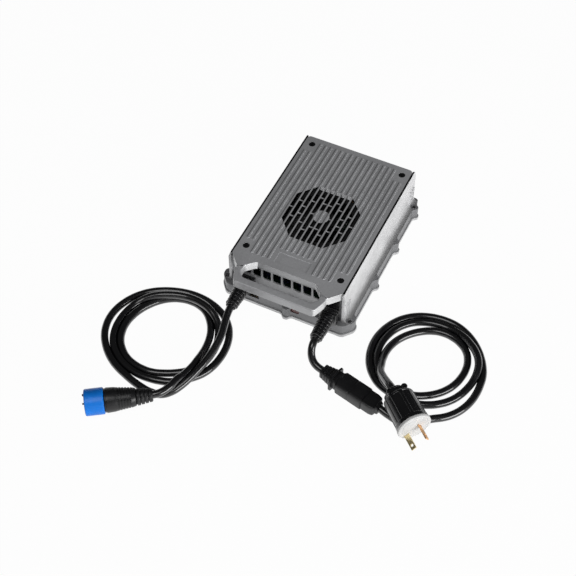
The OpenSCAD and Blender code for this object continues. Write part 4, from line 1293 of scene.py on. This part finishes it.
@dataclass(frozen=True)
class Studio:
    """The photograph's camera, a plain pale floor and plain soft light."""

    camera_at: Point = (0.4053, -0.9283, 1.2409)
    azimuth: float = 25.73
    elevation: float = 52.20
    lens: float = 80.2
    sensor: float = 36.0
    sight: tuple[float, float] = (0.05, 60.0)
    sky: float = 0.06
    floor_radius: float = 14.0
    floor_z: float = -0.0004
    floor_glow: float = 0.97

    def camera(self) -> None:
        """Stands the camera where the photograph was taken."""
        data = bpy.data.cameras.new("camera")
        data.lens = self.lens
        data.sensor_width = self.sensor
        data.clip_start, data.clip_end = self.sight
        eye = bpy.data.objects.new("camera", data)
        eye.location = self.camera_at
        eye.rotation_euler = (math.radians(90.0 - self.elevation), 0.0, math.radians(self.azimuth))
        bpy.context.scene.collection.objects.link(eye)
        bpy.context.scene.camera = eye

    def floor(self) -> None:
        """Lays a pale floor that shows nearly white to the camera and in metal, and keeps the shadow."""
        Bench.take()
        bpy.ops.mesh.primitive_circle_add(
            vertices=64, radius=self.floor_radius, fill_type="NGON", location=(0, 0, self.floor_z)
        )
        ground = bpy.context.object
        ground.name = "floor"
        r = Recipe("floor_pale")
        r.finish(Base_Color=(0.9, 0.9, 0.9), Roughness=0.9, Specular_IOR_Level=0.1)
        seen, shone, through = (r.node("ShaderNodeLightPath", output=i) for i in (0, 3, 6))
        white = r.node("ShaderNodeEmission", None, {"Color": (1.0, 1.0, 1.0), "Strength": 1.0})
        share = (seen + shone + through).clamped() * self.floor_glow
        blend = r.node("ShaderNodeMixShader", None, {0: share, 1: Sock(r, r.shader.outputs[0]), 2: white})
        r.tree.links.new(blend.socket, r.out.inputs[0])
        ground.data.materials.append(r.material)

    def light(self) -> None:
        """Sets a plain sky and the lamps."""
        world = bpy.data.worlds.new("sky")
        world.use_nodes = True
        world.node_tree.nodes["Background"].inputs[0].default_value = (1.0, 1.0, 1.0, 1.0)
        world.node_tree.nodes["Background"].inputs[1].default_value = self.sky
        bpy.context.scene.world = world
        for lamp in LAMPS:
            lamp.build()
        bpy.context.scene.view_settings.view_transform = "Standard"

    def build(self) -> None:
        """Builds the floor and the light; the camera is made first, by itself."""
        self.floor()
        self.light()


def main() -> None:
    """Builds the scene: the camera and the cords first, then the pieces, the finishes and the studio."""
    studio = Studio()
    studio.camera()
    palette = Palette()
    lead = Cord("mains_lead_cord", MAINS_LEAD_ROUTE, ("mains_lead",), "connector", "loose")
    runs = ("mains_cord_start", "mains_coil", "mains_cord_end")
    mains = Cord("mains_cord", MAINS_CORD_ROUTE, runs, "plug", "coiled")
    runs = ("charge_lead", "charge_coil", "charge_cord_end")
    charging = Cord("charging_cord", CHARGING_CORD_ROUTE, runs, "connector", "coiled")
    lead_line, mains_line, charging_line = (cord.build(palette) for cord in (lead, mains, charging))
    Housing(palette).build()
    Gland(palette, 58.0, "mains_bushing", "mains_boot", "mains").build()
    Gland(palette, -52.0, "charge_bushing", "charge_boot", "charging").build()
    pair = InlineCoupling(palette).build()
    plug = MainsPlug(palette).build()
    connector = ChargingConnector(palette).build()
    lead.declare()
    mains.declare()
    charging.declare()
    palette.dress_cad()
    studio.build()


if __name__ == "__main__":
    main()
